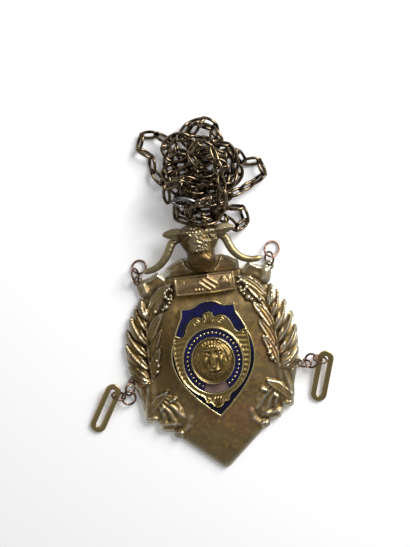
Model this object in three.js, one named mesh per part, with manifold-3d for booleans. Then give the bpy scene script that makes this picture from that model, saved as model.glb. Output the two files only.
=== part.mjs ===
// Chain of office: a cast brass breast badge with an ox head, an enamelled shield and a wreath,
// lying on its back with its neck chain heaped above the head.
// Millimetres, +Z up. The origin is the middle of the badge's flat back, and +Y runs from the
// badge's point towards its head.
import * as THREE from "three";
import { mergeVertices } from "three/addons/utils/BufferGeometryUtils.js";
import Module from "manifold-3d";

const wasm = await Module();
wasm.setup();

// Driving dimensions of the badge
const CLEARANCE = 0.3; // between pieces that are seated on each other
const PLATE_EDGE = 2.4; // thickness of the backplate's rim
const FIELD_TOP = 5.0; // height of the plate's domed field under the shield
const MANTLE_TOP = 4.2; // height of the mantle that carries the head
const WREATH_EDGE = 2.6; // height of a leaf's margin
const WREATH_RIDGE = 4.4; // height of a leaf's midrib
const SHIELD_FLOOR = 6.3; // height of the shield's tray
const SHIELD_RIM = 7.4; // height of the shield's rim
const SHIELD_RIM_WIDTH = 0.9;
const FRAME_TOP = 8.3; // height of the oval frame on the shield
const ENAMEL_TOP = 7.1;
const BAND_TOP = 7.6; // height of the enamel band round the medallion
const MEDALLION = { halfWidth: 10.6, halfHeight: 11.4, rim: 8.6, centre: 8.9 };
const BAND_OUTER = { halfWidth: 13.6, halfHeight: 15.0 };
const PLAQUE = { y: 36, halfLength: 14.2, halfHeight: 4.8, base: PLATE_EDGE + CLEARANCE, crest: 6.8 };
const HEAD_BACK = MANTLE_TOP + CLEARANCE;
const HORN_SIDES = 7;

// Driving dimensions of the rings, links and chain
const WIRE_SIDES = 6;
const RING_SIDES = 14;
const EYELET_SIDES = 8;
const JUMP_RING = { radius: 3.2, wire: 0.5 };
const EYELET = { radius: 1.9, wire: 0.6, z: 2.5 };
const LONG_LINK = { length: 24.6, width: 7.6, slot: 2.4, thickness: 1.2 };
const CHAIN = { links: 139, pitch: 6.9, core: 3.2, sides: 8 }; // the core is the tube that the links fill out
const HEAD_LOOP = { y: 65.2, z: 3.4, radius: 2.6, wire: 0.5 };
const CLASP = { x: -3.4, y: 74, z: 11.6, heading: 169, length: 14.2, width: 6.0, wire: 0.7, swell: 0.5 };
const CLASP_EYE = { radius: 1.1, wire: 0.45 };

const BRASS = { color: 0x8c7646, roughness: 0.4, metalness: 1 };
const FINISHES = {
  brass: new THREE.MeshStandardMaterial(BRASS),
  ring: new THREE.MeshStandardMaterial({ color: 0x8a6a58, roughness: 0.35, metalness: 1 }),
  chain: new THREE.MeshStandardMaterial({ color: 0x4a3d2c, roughness: 0.35, metalness: 1 }),
  steel: new THREE.MeshStandardMaterial({ color: 0x8d8d90, roughness: 0.35, metalness: 1 }),
  enamel: new THREE.MeshStandardMaterial({ color: 0x10143f, roughness: 0.15, metalness: 0 }),
};

// Solids and booleans

function signedVolume(position, index) {
  let total = 0;
  const corner = [new THREE.Vector3(), new THREE.Vector3(), new THREE.Vector3()];
  for (let i = 0; i < index.length; i += 3) {
    corner.forEach((point, k) => point.fromArray(position, 3 * index[i + k]));
    total += corner[0].dot(corner[1].clone().cross(corner[2]));
  }
  return total / 6;
}

// A geometry as a solid, with shared vertices merged and its faces pointing out.
function solid(geometry) {
  const loose = geometry.index ? geometry.toNonIndexed() : geometry;
  const bare = new THREE.BufferGeometry().setAttribute("position", loose.getAttribute("position").clone());
  const merged = mergeVertices(bare, 1e-4);
  const position = merged.attributes.position.array;
  const index = [];
  for (let i = 0; i < merged.index.count; i += 3) {
    const [a, b, c] = merged.index.array.slice(i, i + 3);
    if (a !== b && b !== c && c !== a) index.push(a, b, c);
  }
  if (signedVolume(position, index) < 0) index.reverse();
  const mesh = new wasm.Mesh({ numProp: 3, vertProperties: position, triVerts: new Uint32Array(index) });
  return new wasm.Manifold(mesh);
}

function joined(geometries) {
  return geometries.map(solid).reduce((whole, piece) => whole.add(piece));
}

function geometryOf(body) {
  const mesh = body.getMesh();
  const position = new THREE.BufferAttribute(new Float32Array(mesh.vertProperties), 3);
  const geometry = new THREE.BufferGeometry().setAttribute("position", position);
  geometry.setIndex(new THREE.BufferAttribute(new Uint32Array(mesh.triVerts), 1));
  geometry.computeVertexNormals();
  return geometry;
}

// Lofts, sweeps and outlines

// Joins rings of points into one skin: closed ends for a loft, or a last ring that meets the first.
function skin(rings, meetsItself) {
  const count = rings[0].length;
  const position = rings.flat().flatMap((point) => point.toArray());
  const index = [];
  const spans = meetsItself ? rings.length : rings.length - 1;
  for (let r = 0; r < spans; r++) {
    const here = r * count;
    const next = ((r + 1) % rings.length) * count;
    for (let k = 0; k < count; k++) {
      const k2 = (k + 1) % count;
      index.push(here + k, here + k2, next + k2, here + k, next + k2, next + k);
    }
  }
  if (!meetsItself) {
    const last = (rings.length - 1) * count;
    for (let k = 1; k < count - 1; k++) {
      index.push(0, k + 1, k, last, last + k, last + k + 1);
    }
  }
  const geometry = new THREE.BufferGeometry();
  geometry.setAttribute("position", new THREE.BufferAttribute(new Float32Array(position), 3));
  return geometry.setIndex(index);
}

// A ring of points round a centre, in the plane of two unit vectors.
function circle(centre, across, up, radius, sides) {
  return Array.from({ length: sides }, (_, k) => {
    const turn = (2 * Math.PI * k) / sides;
    const point = centre.clone().addScaledVector(across, radius * Math.cos(turn));
    return point.addScaledVector(up, radius * Math.sin(turn));
  });
}

// A round rod of changing radius through points, square to its path at each of them.
function rod(points, radii, sides) {
  const rings = points.map((point, i) => {
    const before = points[Math.max(i - 1, 0)];
    const after = points[Math.min(i + 1, points.length - 1)];
    const along = after.clone().sub(before).normalize();
    const across = new THREE.Vector3(0, 0, 1).cross(along);
    if (across.length() < 1e-6) across.set(1, 0, 0);
    across.normalize();
    const up = along.clone().cross(across);
    return circle(point, across, up, radii[i], sides);
  });
  return skin(rings, false);
}

// A closed wire loop: a stadium with round bows, or a circle where it has no straight.
function wireLoop({ straight, bow, wire, bowSteps, sides }) {
  const flat = new THREE.Vector3(0, 0, 1);
  const rings = [];
  const bows = [
    { centre: straight / 2, start: -Math.PI / 2 },
    { centre: -straight / 2, start: Math.PI / 2 },
  ];
  for (const { centre, start } of bows) {
    const stops = straight > 0 ? bowSteps + 1 : bowSteps;
    for (let k = 0; k < stops; k++) {
      const turn = start + (Math.PI * k) / bowSteps;
      const out = new THREE.Vector3(Math.cos(turn), Math.sin(turn), 0);
      const point = out.clone().multiplyScalar(bow);
      point.x += centre;
      rings.push(circle(point, out.negate(), flat, wire, sides));
    }
  }
  return skin(rings, true);
}

function torus(radius, wire, sides = RING_SIDES) {
  return wireLoop({ straight: 0, bow: radius, wire, bowSteps: sides / 2, sides: WIRE_SIDES });
}

// Puts a piece whose length lies on X and whose face is up at a place, heading and roll.
function placed(geometry, place, along, roll) {
  const side = new THREE.Vector3(0, 0, 1).cross(along).normalize();
  const up = along.clone().cross(side);
  const turnedSide = side.clone().multiplyScalar(Math.cos(roll)).addScaledVector(up, Math.sin(roll));
  const turnedUp = along.clone().cross(turnedSide);
  const frame = new THREE.Matrix4().makeBasis(along, turnedSide, turnedUp).setPosition(place);
  return geometry.clone().applyMatrix4(frame);
}

function heading(degrees) {
  const turn = THREE.MathUtils.degToRad(degrees);
  return new THREE.Vector3(Math.cos(turn), Math.sin(turn), 0);
}

// Both halves of an outline that is drawn from the bottom up its right-hand side.
function mirroredOutline(half, divisions) {
  const right = half.getPoints(divisions);
  const left = right.slice(1, -1).reverse();
  return right.concat(left.map((point) => new THREE.Vector2(-point.x, point.y)));
}

function insetOutline(points, distance) {
  return points.map((point, i) => {
    const before = points[(i + points.length - 1) % points.length];
    const after = points[(i + 1) % points.length];
    const along = after.clone().sub(before).normalize();
    return new THREE.Vector2(point.x - along.y * distance, point.y + along.x * distance);
  });
}

function ovalOutline(halfWidth, halfHeight, sides) {
  return Array.from({ length: sides }, (_, k) => {
    const turn = (2 * Math.PI * k) / sides;
    return new THREE.Vector2(halfWidth * Math.cos(turn), halfHeight * Math.sin(turn));
  });
}

function slab(outline, bottom, top, holes = []) {
  const shape = new THREE.Shape(outline);
  shape.holes = holes.map((hole) => new THREE.Path(hole));
  const geometry = new THREE.ExtrudeGeometry(shape, { depth: top - bottom, bevelEnabled: false });
  return geometry.translate(0, 0, bottom);
}

function ball(centre, radii, rounds) {
  const geometry = new THREE.SphereGeometry(1, rounds, Math.ceil(rounds * 0.6));
  return geometry.scale(radii[0], radii[1], radii[2]).translate(centre[0], centre[1], centre[2]);
}

// A D-shaped section in two axes: a flat base and a rounded crown.
const CROWN_STEPS = 8;
const CROWN_FULLNESS = 0.65;

function crownSection(halfWidth, base, crest) {
  return Array.from({ length: CROWN_STEPS + 1 }, (_, k) => {
    const turn = (Math.PI * k) / CROWN_STEPS;
    const wide = Math.sign(Math.cos(turn)) * Math.abs(Math.cos(turn)) ** CROWN_FULLNESS;
    const high = Math.max(0, Math.sin(turn)) ** CROWN_FULLNESS;
    return { wide: halfWidth * wide, high: base + (crest - base) * high };
  });
}

// A leaf from its base to its tip, with a flat back and a ridge along its middle.
const LEAF_STATIONS = [
  { along: 0.0, width: 0.45, ridge: 0.7 },
  { along: 0.42, width: 1.0, ridge: 1.0 },
  { along: 1.0, width: 0.06, ridge: 0.35 },
];

function leaf({ baseX, baseY, tipX, tipY, width, back, edge, ridge }) {
  const base = new THREE.Vector3(baseX, baseY, 0);
  const along = new THREE.Vector3(tipX - baseX, tipY - baseY, 0);
  const side = new THREE.Vector3(-along.y, along.x, 0).normalize();
  const rings = LEAF_STATIONS.map((station) => {
    const middle = base.clone().addScaledVector(along, station.along);
    const reach = (width / 2) * station.width;
    const crest = edge + (ridge - edge) * station.ridge;
    const section = [[-reach, back], [reach, back], [reach, edge], [0, crest], [-reach, edge]];
    return section.map(([across, z]) => middle.clone().addScaledVector(side, across).setZ(z));
  });
  return skin(rings, false);
}

// Backplate: field, wreath branches, ribbon folds, mantle, lugs and eyelets in one casting

const PLATE_HALF = new THREE.Path()
  .moveTo(0, -51.2)
  .lineTo(19.8, -34.6)
  .lineTo(24.5, -27)
  .lineTo(32, -23)
  .quadraticCurveTo(33.5, -14, 37, -8.5)
  .lineTo(38.2, -4)
  .quadraticCurveTo(34.6, 3, 35.4, 14)
  .quadraticCurveTo(33.6, 25, 29.4, 32.6)
  .quadraticCurveTo(34.2, 36, 30.6, 39.4)
  .quadraticCurveTo(25, 42.8, 18.4, 39.6)
  .lineTo(17.4, 43.2)
  .quadraticCurveTo(14.5, 46.6, 9.5, 48.4)
  .lineTo(0, 48.4);

const MANTLE_HALF = new THREE.Path()
  .moveTo(0, 41)
  .lineTo(11, 41.4)
  .lineTo(16.4, 43)
  .quadraticCurveTo(13.6, 46, 9, 47.6)
  .lineTo(0, 47.8);

const FIELD_HALF = new THREE.Path()
  .moveTo(0, -48)
  .lineTo(18, -33)
  .quadraticCurveTo(31, -12, 29, 8)
  .quadraticCurveTo(26, 27, 16, 30.6)
  .lineTo(0, 30.6);

const FIELD_STEPS = [
  { scale: 1.0, z: PLATE_EDGE - 0.4 },
  { scale: 0.9, z: 3.3 },
  { scale: 0.74, z: 4.3 },
  { scale: 0.55, z: FIELD_TOP },
];

const WREATH_LEAVES = [
  { baseX: 30.2, baseY: -7.5, tipX: 40.0, tipY: -2.4, width: 4.6, lift: 0.0 },
  { baseX: 30.6, baseY: -4.5, tipX: 40.0, tipY: 5.0, width: 4.8, lift: 0.5 },
  { baseX: 30.4, baseY: 1.0, tipX: 40.2, tipY: 13.0, width: 5.0, lift: 0.1 },
  { baseX: 30.4, baseY: 8.5, tipX: 38.8, tipY: 20.4, width: 5.0, lift: 0.6 },
  { baseX: 29.4, baseY: 15.5, tipX: 35.0, tipY: 25.4, width: 4.8, lift: 0.2 },
  { baseX: 27.4, baseY: 21.5, tipX: 31.2, tipY: 31.6, width: 4.6, lift: 0.6 },
  { baseX: 29.2, baseY: -6.0, tipX: 24.2, tipY: 9.6, width: 4.6, lift: 0.5 },
  { baseX: 29.8, baseY: 4.0, tipX: 21.6, tipY: 17.4, width: 4.6, lift: 0.2 },
  { baseX: 28.8, baseY: 13.0, tipX: 20.6, tipY: 25.6, width: 4.4, lift: 0.6 },
  { baseX: 26.4, baseY: 22.5, tipX: 17.2, tipY: 34.6, width: 4.4, lift: 0.2 },
];

const BERRIES = [
  { x: 19.6, y: 30.0 },
  { x: 20.6, y: 21.8 },
];
const BERRY = { radius: 1.7, z: 3.4 };

const RIBBON_FOLDS = [
  { fromX: 29.5, fromY: -10.6, toX: 37.6, toY: -8.4, radius: 3.2, z: 1.8 },
  { fromX: 34.4, fromY: -12, toX: 32.4, toY: -22.5, radius: 2.6, z: 1.6 },
  { fromX: 28.2, fromY: -24.2, toX: 33.0, toY: -24.4, radius: 2.2, z: 2.0 },
  { fromX: 27.6, fromY: -14.5, toX: 25.0, toY: -26.5, radius: 2.6, z: 1.8 },
  { fromX: 22.6, fromY: -28.4, toX: 27.4, toY: -28.2, radius: 2.2, z: 2.0 },
  { fromX: 17.2, fromY: -33.2, toX: 21.4, toY: -32.0, radius: 2.2, z: 1.8 },
  { fromX: 18.6, fromY: 37.6, toX: 30.6, toY: 37.0, radius: 2.8, z: 2.2 },
];
const FOLD_ENDS = [0.75, 1.0, 0.75];
const FOLD_SIDES = 6;

const EYELETS = {
  upper: { x: 31.0, y: 41.0 },
  lower: { x: 39.3, y: -6.2 },
};

function fieldRings() {
  const outline = mirroredOutline(FIELD_HALF, 5);
  return FIELD_STEPS.map(({ scale, z }) =>
    outline.map((point) => new THREE.Vector3(point.x * scale, point.y * scale, z)),
  );
}

function fold({ fromX, fromY, toX, toY, radius, z }, side) {
  const from = new THREE.Vector3(side * fromX, fromY, z);
  const to = new THREE.Vector3(side * toX, toY, z);
  const last = FOLD_ENDS.length - 1;
  const points = FOLD_ENDS.map((_, i) => from.clone().lerp(to, i / last));
  return rod(points, FOLD_ENDS.map((share) => share * radius), FOLD_SIDES);
}

function backplate() {
  const pieces = [
    slab(mirroredOutline(PLATE_HALF, 4), 0, PLATE_EDGE),
    slab(mirroredOutline(MANTLE_HALF, 4), 0, MANTLE_TOP),
    skin(fieldRings(), false),
  ];
  for (const side of [1, -1]) {
    for (const { baseX, baseY, tipX, tipY, width, lift } of WREATH_LEAVES) {
      const ends = { baseX: side * baseX, baseY, tipX: side * tipX, tipY };
      pieces.push(leaf({ ...ends, width, back: 0, edge: WREATH_EDGE + lift, ridge: WREATH_RIDGE + lift }));
    }
    for (const row of RIBBON_FOLDS) pieces.push(fold(row, side));
    for (const { x, y } of BERRIES) {
      pieces.push(ball([side * x, y, BERRY.z], [BERRY.radius, BERRY.radius, BERRY.radius], 6));
    }
    for (const { x, y } of Object.values(EYELETS)) {
      pieces.push(torus(EYELET.radius, EYELET.wire, EYELET_SIDES).translate(side * x, y, EYELET.z));
    }
  }
  const aboveBack = new THREE.BoxGeometry(120, 140, 20).translate(0, 0, 10);
  return joined(pieces).intersect(solid(aboveBack));
}

// Ox head with horns, ears and the loop behind its crown

const HEAD_SECTIONS = [
  { y: 40.0, halfWidth: 3.4, back: 6.6, front: 9.0 },
  { y: 41.2, halfWidth: 5.9, back: 5.2, front: 11.4 },
  { y: 44.0, halfWidth: 7.5, back: HEAD_BACK, front: 13.6 },
  { y: 46.6, halfWidth: 7.1, back: HEAD_BACK, front: 13.4 },
  { y: 49.6, halfWidth: 6.7, back: HEAD_BACK, front: 12.6 },
  { y: 53.6, halfWidth: 8.7, back: HEAD_BACK, front: 13.2 },
  { y: 57.4, halfWidth: 9.8, back: HEAD_BACK, front: 14.4 },
  { y: 60.6, halfWidth: 9.2, back: HEAD_BACK, front: 13.8 },
  { y: 62.8, halfWidth: 6.8, back: HEAD_BACK, front: 11.4 },
  { y: 63.9, halfWidth: 4.2, back: 4.8, front: 8.8 },
];

const HORN_PATH = [
  { x: 8.6, y: 57.4, z: 8.4, radius: 2.2 },
  { x: 11.8, y: 55.6, z: 8.6, radius: 2.1 },
  { x: 13.2, y: 51.8, z: 8.6, radius: 2.0 },
  { x: 15.8, y: 48.0, z: 8.4, radius: 1.9 },
  { x: 20.0, y: 45.4, z: 8.0, radius: 1.6 },
  { x: 24.4, y: 44.5, z: 7.6, radius: 1.1 },
  { x: 28.2, y: 45.0, z: 7.4, radius: 0.4 },
];

const EAR = { baseX: 7.8, baseY: 60.4, tipX: 16.0, tipY: 59.6, width: 5.4, back: 7.4, edge: 8.6, ridge: 9.8 };
const EYE = { x: 6.7, y: 53.4, z: 11.6, radius: 1.3 };

function oxHead() {
  const sections = HEAD_SECTIONS.map(({ y, halfWidth, back, front }) =>
    crownSection(halfWidth, back, front).map(({ wide, high }) => new THREE.Vector3(wide, y, high)),
  );
  const pieces = [skin(sections, false)];
  for (const side of [1, -1]) {
    const points = HORN_PATH.map(({ x, y, z }) => new THREE.Vector3(side * x, y, z));
    pieces.push(rod(points, HORN_PATH.map((row) => row.radius), HORN_SIDES));
    pieces.push(leaf({ ...EAR, baseX: side * EAR.baseX, tipX: side * EAR.tipX }));
    pieces.push(ball([side * EYE.x, EYE.y, EYE.z], [EYE.radius, EYE.radius, EYE.radius], 6));
  }
  const loop = torus(HEAD_LOOP.radius, HEAD_LOOP.wire).rotateY(Math.PI / 2);
  pieces.push(loop.translate(0, HEAD_LOOP.y, HEAD_LOOP.z));
  return joined(pieces);
}

// Plaque with two clasped hands

const PLAQUE_SECTIONS = [
  { along: -1, height: 0.88, crest: 0.55 },
  { along: -0.92, height: 1, crest: 0.8 },
  { along: 0, height: 1.04, crest: 1 },
  { along: 0.92, height: 1, crest: 0.8 },
  { along: 1, height: 0.88, crest: 0.55 },
];

const FINGERS = [
  { x: 1.2, y: 37.7, length: 3.6 },
  { x: 1.6, y: 36.2, length: 4.2 },
  { x: 1.2, y: 34.7, length: 3.6 },
];
const FINGER_RADIUS = 0.7;
const FINGER_DROOP = 0.5;
const FINGER_LIFT = 0.8;
const PALM = { x: 3.4, y: 0.2, halfLength: 5.2, halfHeight: 2.7, rise: 1.1 };
const CUFF = { x: 9.6, length: 3.4, height: 6.2, depth: 2, rise: 0.5 };

function handsPlaque() {
  const { y, halfLength, halfHeight, base, crest } = PLAQUE;
  const sections = PLAQUE_SECTIONS.map((row) =>
    crownSection(halfHeight * row.height, base, base + (crest - base) * row.crest).map(
      ({ wide, high }) => new THREE.Vector3(halfLength * row.along, y + wide, high),
    ),
  );
  const pieces = [skin(sections, false)];
  for (const side of [1, -1]) {
    pieces.push(ball([side * PALM.x, y + PALM.y, crest], [PALM.halfLength, PALM.halfHeight, PALM.rise], 8));
    const cuff = new THREE.BoxGeometry(CUFF.length, CUFF.height, CUFF.depth);
    pieces.push(cuff.translate(side * CUFF.x, y, crest + CUFF.rise - CUFF.depth / 2));
  }
  for (const { x, y: fingerY, length } of FINGERS) {
    const knuckle = new THREE.Vector3(x, fingerY, crest + FINGER_LIFT);
    const tip = new THREE.Vector3(x - length, fingerY - FINGER_DROOP, crest + FINGER_LIFT);
    pieces.push(rod([knuckle, tip], [FINGER_RADIUS, FINGER_RADIUS * 0.8], 5));
  }
  return joined(pieces);
}

// Shield: tray with a rim, and an oval scrolled frame raised on it

const SHIELD_HALF = new THREE.Path()
  .moveTo(0, -26.6)
  .quadraticCurveTo(13.4, -15.6, 17.7, -6.5)
  .quadraticCurveTo(20.7, 0, 19.2, 6.8)
  .quadraticCurveTo(17.2, 14.6, 13.1, 21.6)
  .lineTo(12.7, 25.8)
  .quadraticCurveTo(8.2, 24.8, 5.4, 26.8)
  .quadraticCurveTo(2.8, 28.4, 0, 28.4);

const FRAME_HALF = new THREE.Path()
  .moveTo(0, -22.4)
  .quadraticCurveTo(4.6, -21, 5.8, -17.4)
  .lineTo(9.6, -15.4)
  .quadraticCurveTo(18.6, -9, 19.2, 2)
  .lineTo(18.6, 7)
  .lineTo(17.6, 10)
  .lineTo(16.9, 14.2)
  .lineTo(13.6, 16.4)
  .lineTo(10.4, 17.4)
  .lineTo(8.4, 20.2)
  .lineTo(4.2, 20.4)
  .lineTo(2.4, 22.6)
  .lineTo(0, 23.4);

const OVAL_SIDES = 20;
const OUTLINE_STEPS = 4;

function shieldOutline() {
  return mirroredOutline(SHIELD_HALF, OUTLINE_STEPS);
}

function recessOutline() {
  return insetOutline(shieldOutline(), SHIELD_RIM_WIDTH);
}

function frameOutline() {
  return mirroredOutline(FRAME_HALF, OUTLINE_STEPS);
}

function shield() {
  const foot = FIELD_TOP + CLEARANCE;
  const bandHole = ovalOutline(BAND_OUTER.halfWidth, BAND_OUTER.halfHeight, OVAL_SIDES);
  const tray = solid(slab(shieldOutline(), foot, SHIELD_RIM));
  const recess = solid(slab(recessOutline(), SHIELD_FLOOR, FRAME_TOP));
  const limits = solid(slab(shieldOutline(), foot, FRAME_TOP));
  const frame = solid(slab(frameOutline(), foot, FRAME_TOP, [bandHole]));
  return tray.subtract(recess).add(frame.intersect(limits));
}

// The enamel that fills the shield's recess above or below the middle of the frame.
function enamelField(above) {
  const filled = insetOutline(recessOutline(), CLEARANCE);
  const kept = insetOutline(frameOutline(), -CLEARANCE);
  const field = solid(slab(filled, SHIELD_FLOOR + CLEARANCE, ENAMEL_TOP));
  const frame = solid(slab(kept, SHIELD_FLOOR, FRAME_TOP));
  const half = new THREE.BoxGeometry(60, 60, 20).translate(0, above ? 35 : -30, SHIELD_FLOOR);
  return field.subtract(frame).intersect(solid(half));
}

function enamelBand() {
  const outer = ovalOutline(BAND_OUTER.halfWidth - CLEARANCE, BAND_OUTER.halfHeight - CLEARANCE, OVAL_SIDES);
  const inner = ovalOutline(MEDALLION.halfWidth, MEDALLION.halfHeight, OVAL_SIDES);
  return solid(slab(outer, SHIELD_FLOOR + CLEARANCE, BAND_TOP, [inner]));
}

// Oval medallion with a lion mask

const MEDALLION_RIM = { width: 0.8, drop: 0.4 };
const MANE_LOCKS = 11;
const MANE = { inner: 3.6, outer: 9.0, width: 4.6, edge: 9.6, ridge: 10.8 };
const LION = {
  face: { y: 0.4, halfWidth: 4.9, halfHeight: 6.0, rise: 2.9 },
  muzzle: { y: -2.6, halfWidth: 2.9, halfHeight: 2.4, rise: 4.0 },
  brow: { x: 2.2, y: 2.6, radius: 1.5, z: 10.8 },
};

function lionMedallion() {
  const { halfWidth, halfHeight, rim, centre } = MEDALLION;
  const foot = SHIELD_FLOOR + CLEARANCE;
  const edge = halfWidth - CLEARANCE;
  const profile = [
    new THREE.Vector2(0, foot),
    new THREE.Vector2(edge, foot),
    new THREE.Vector2(edge, rim),
    new THREE.Vector2(edge - MEDALLION_RIM.width, rim),
    new THREE.Vector2(edge - MEDALLION_RIM.width - MEDALLION_RIM.drop, rim - MEDALLION_RIM.drop),
    new THREE.Vector2(0, centre),
  ];
  const disc = new THREE.LatheGeometry(profile, OVAL_SIDES).rotateX(Math.PI / 2);
  const pieces = [disc.scale(1, halfHeight / halfWidth, 1)];
  for (let k = 0; k < MANE_LOCKS; k++) {
    const turn = (2 * Math.PI * (k + 0.5)) / MANE_LOCKS;
    const [cos, sin] = [Math.cos(turn), Math.sin(turn)];
    const base = { baseX: MANE.inner * cos, baseY: MANE.inner * sin };
    const tip = { tipX: MANE.outer * cos, tipY: MANE.outer * sin };
    pieces.push(leaf({ ...base, ...tip, width: MANE.width, back: foot, edge: MANE.edge, ridge: MANE.ridge }));
  }
  for (const { y, halfWidth: wide, halfHeight: high, rise } of [LION.face, LION.muzzle]) {
    pieces.push(ball([0, y, centre], [wide, high, rise], 8));
  }
  const { x, y, radius, z } = LION.brow;
  for (const side of [1, -1]) pieces.push(ball([side * x, y, z], [radius, radius, radius], 6));
  const aboveFoot = new THREE.BoxGeometry(60, 60, 20).translate(0, 0, foot + 10);
  return joined(pieces).intersect(solid(aboveFoot));
}

// Jump rings and long links

// Each ring dips from level towards a compass heading, and a stretched ring is longer that way.
const JUMP_RINGS = [
  { name: "ring_upper_left_1", x: -31.8, y: 43.9, z: 3.5, dip: 66, toward: 4, stretch: 0 },
  { name: "ring_upper_left_2", x: -29.7, y: 47.5, z: 1.4, dip: 15, toward: 96, stretch: 0 },
  { name: "ring_upper_right_1", x: 31.6, y: 44.1, z: 3.2, dip: 57, toward: 179, stretch: 0 },
  { name: "ring_upper_right_2", x: 33.4, y: 48.4, z: 2.0, dip: 21, toward: 54, stretch: 1.8 },
  { name: "ring_lower_left_1", x: -40.7, y: -8.8, z: 3.15, dip: 55, toward: -21, stretch: 0 },
  { name: "ring_lower_left_2", x: -41.9, y: -13.1, z: 2.7, dip: 15, toward: -35, stretch: 0 },
  { name: "ring_lower_left_3", x: -46.5, y: -11.5, z: 3.4, dip: 63, toward: 71, stretch: 0 },
  { name: "ring_lower_right_1", x: 41.9, y: -6.8, z: 3.5, dip: 65, toward: 84, stretch: 0 },
  { name: "ring_lower_right_2", x: 45.3, y: -6.0, z: 3.65, dip: 31, toward: 174, stretch: 0 },
  { name: "ring_lower_right_3", x: 49.4, y: -5.75, z: 4.2, dip: 63, toward: 70, stretch: 0 },
];

// Each long link slopes down from the ring in its slot to rest on its far end.
const LONG_LINKS = [
  { name: "long_link_left", x: -53.4, y: -16.6, z: 2.0, dip: 6, toward: 239 },
  { name: "long_link_right", x: 49.6, y: -13.9, z: 2.3, dip: 7.5, toward: 253 },
];

function dipping(geometry, { x, y, z, dip, toward }) {
  const drop = THREE.MathUtils.degToRad(dip);
  const along = heading(toward).multiplyScalar(Math.cos(drop)).setZ(-Math.sin(drop));
  return placed(geometry, new THREE.Vector3(x, y, z), along, 0);
}

function jumpRing(row) {
  const { radius, wire } = JUMP_RING;
  const loop = { straight: row.stretch, bow: radius, wire, bowSteps: RING_SIDES / 2, sides: WIRE_SIDES };
  return dipping(wireLoop(loop), row);
}

function stadium(length, width, steps) {
  const straight = length - width;
  return Array.from({ length: 2 * (steps + 1) }, (_, k) => {
    const end = k <= steps ? 1 : -1;
    const turn = (Math.PI * (k <= steps ? k : k - steps - 1)) / steps - (end * Math.PI) / 2;
    const bow = new THREE.Vector2(Math.cos(turn), Math.sin(turn)).multiplyScalar(width / 2);
    return bow.setX(bow.x + (end * straight) / 2);
  });
}

function longLink(row) {
  const { length, width, slot, thickness } = LONG_LINK;
  const outer = stadium(length, width, 6);
  const inner = stadium(length - width + slot, slot, 5);
  return dipping(slab(outer, -thickness / 2, thickness / 2, [inner]), row);
}

// Neck chain: the joints between its links, settled into a heap from a hand-laid route

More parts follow.
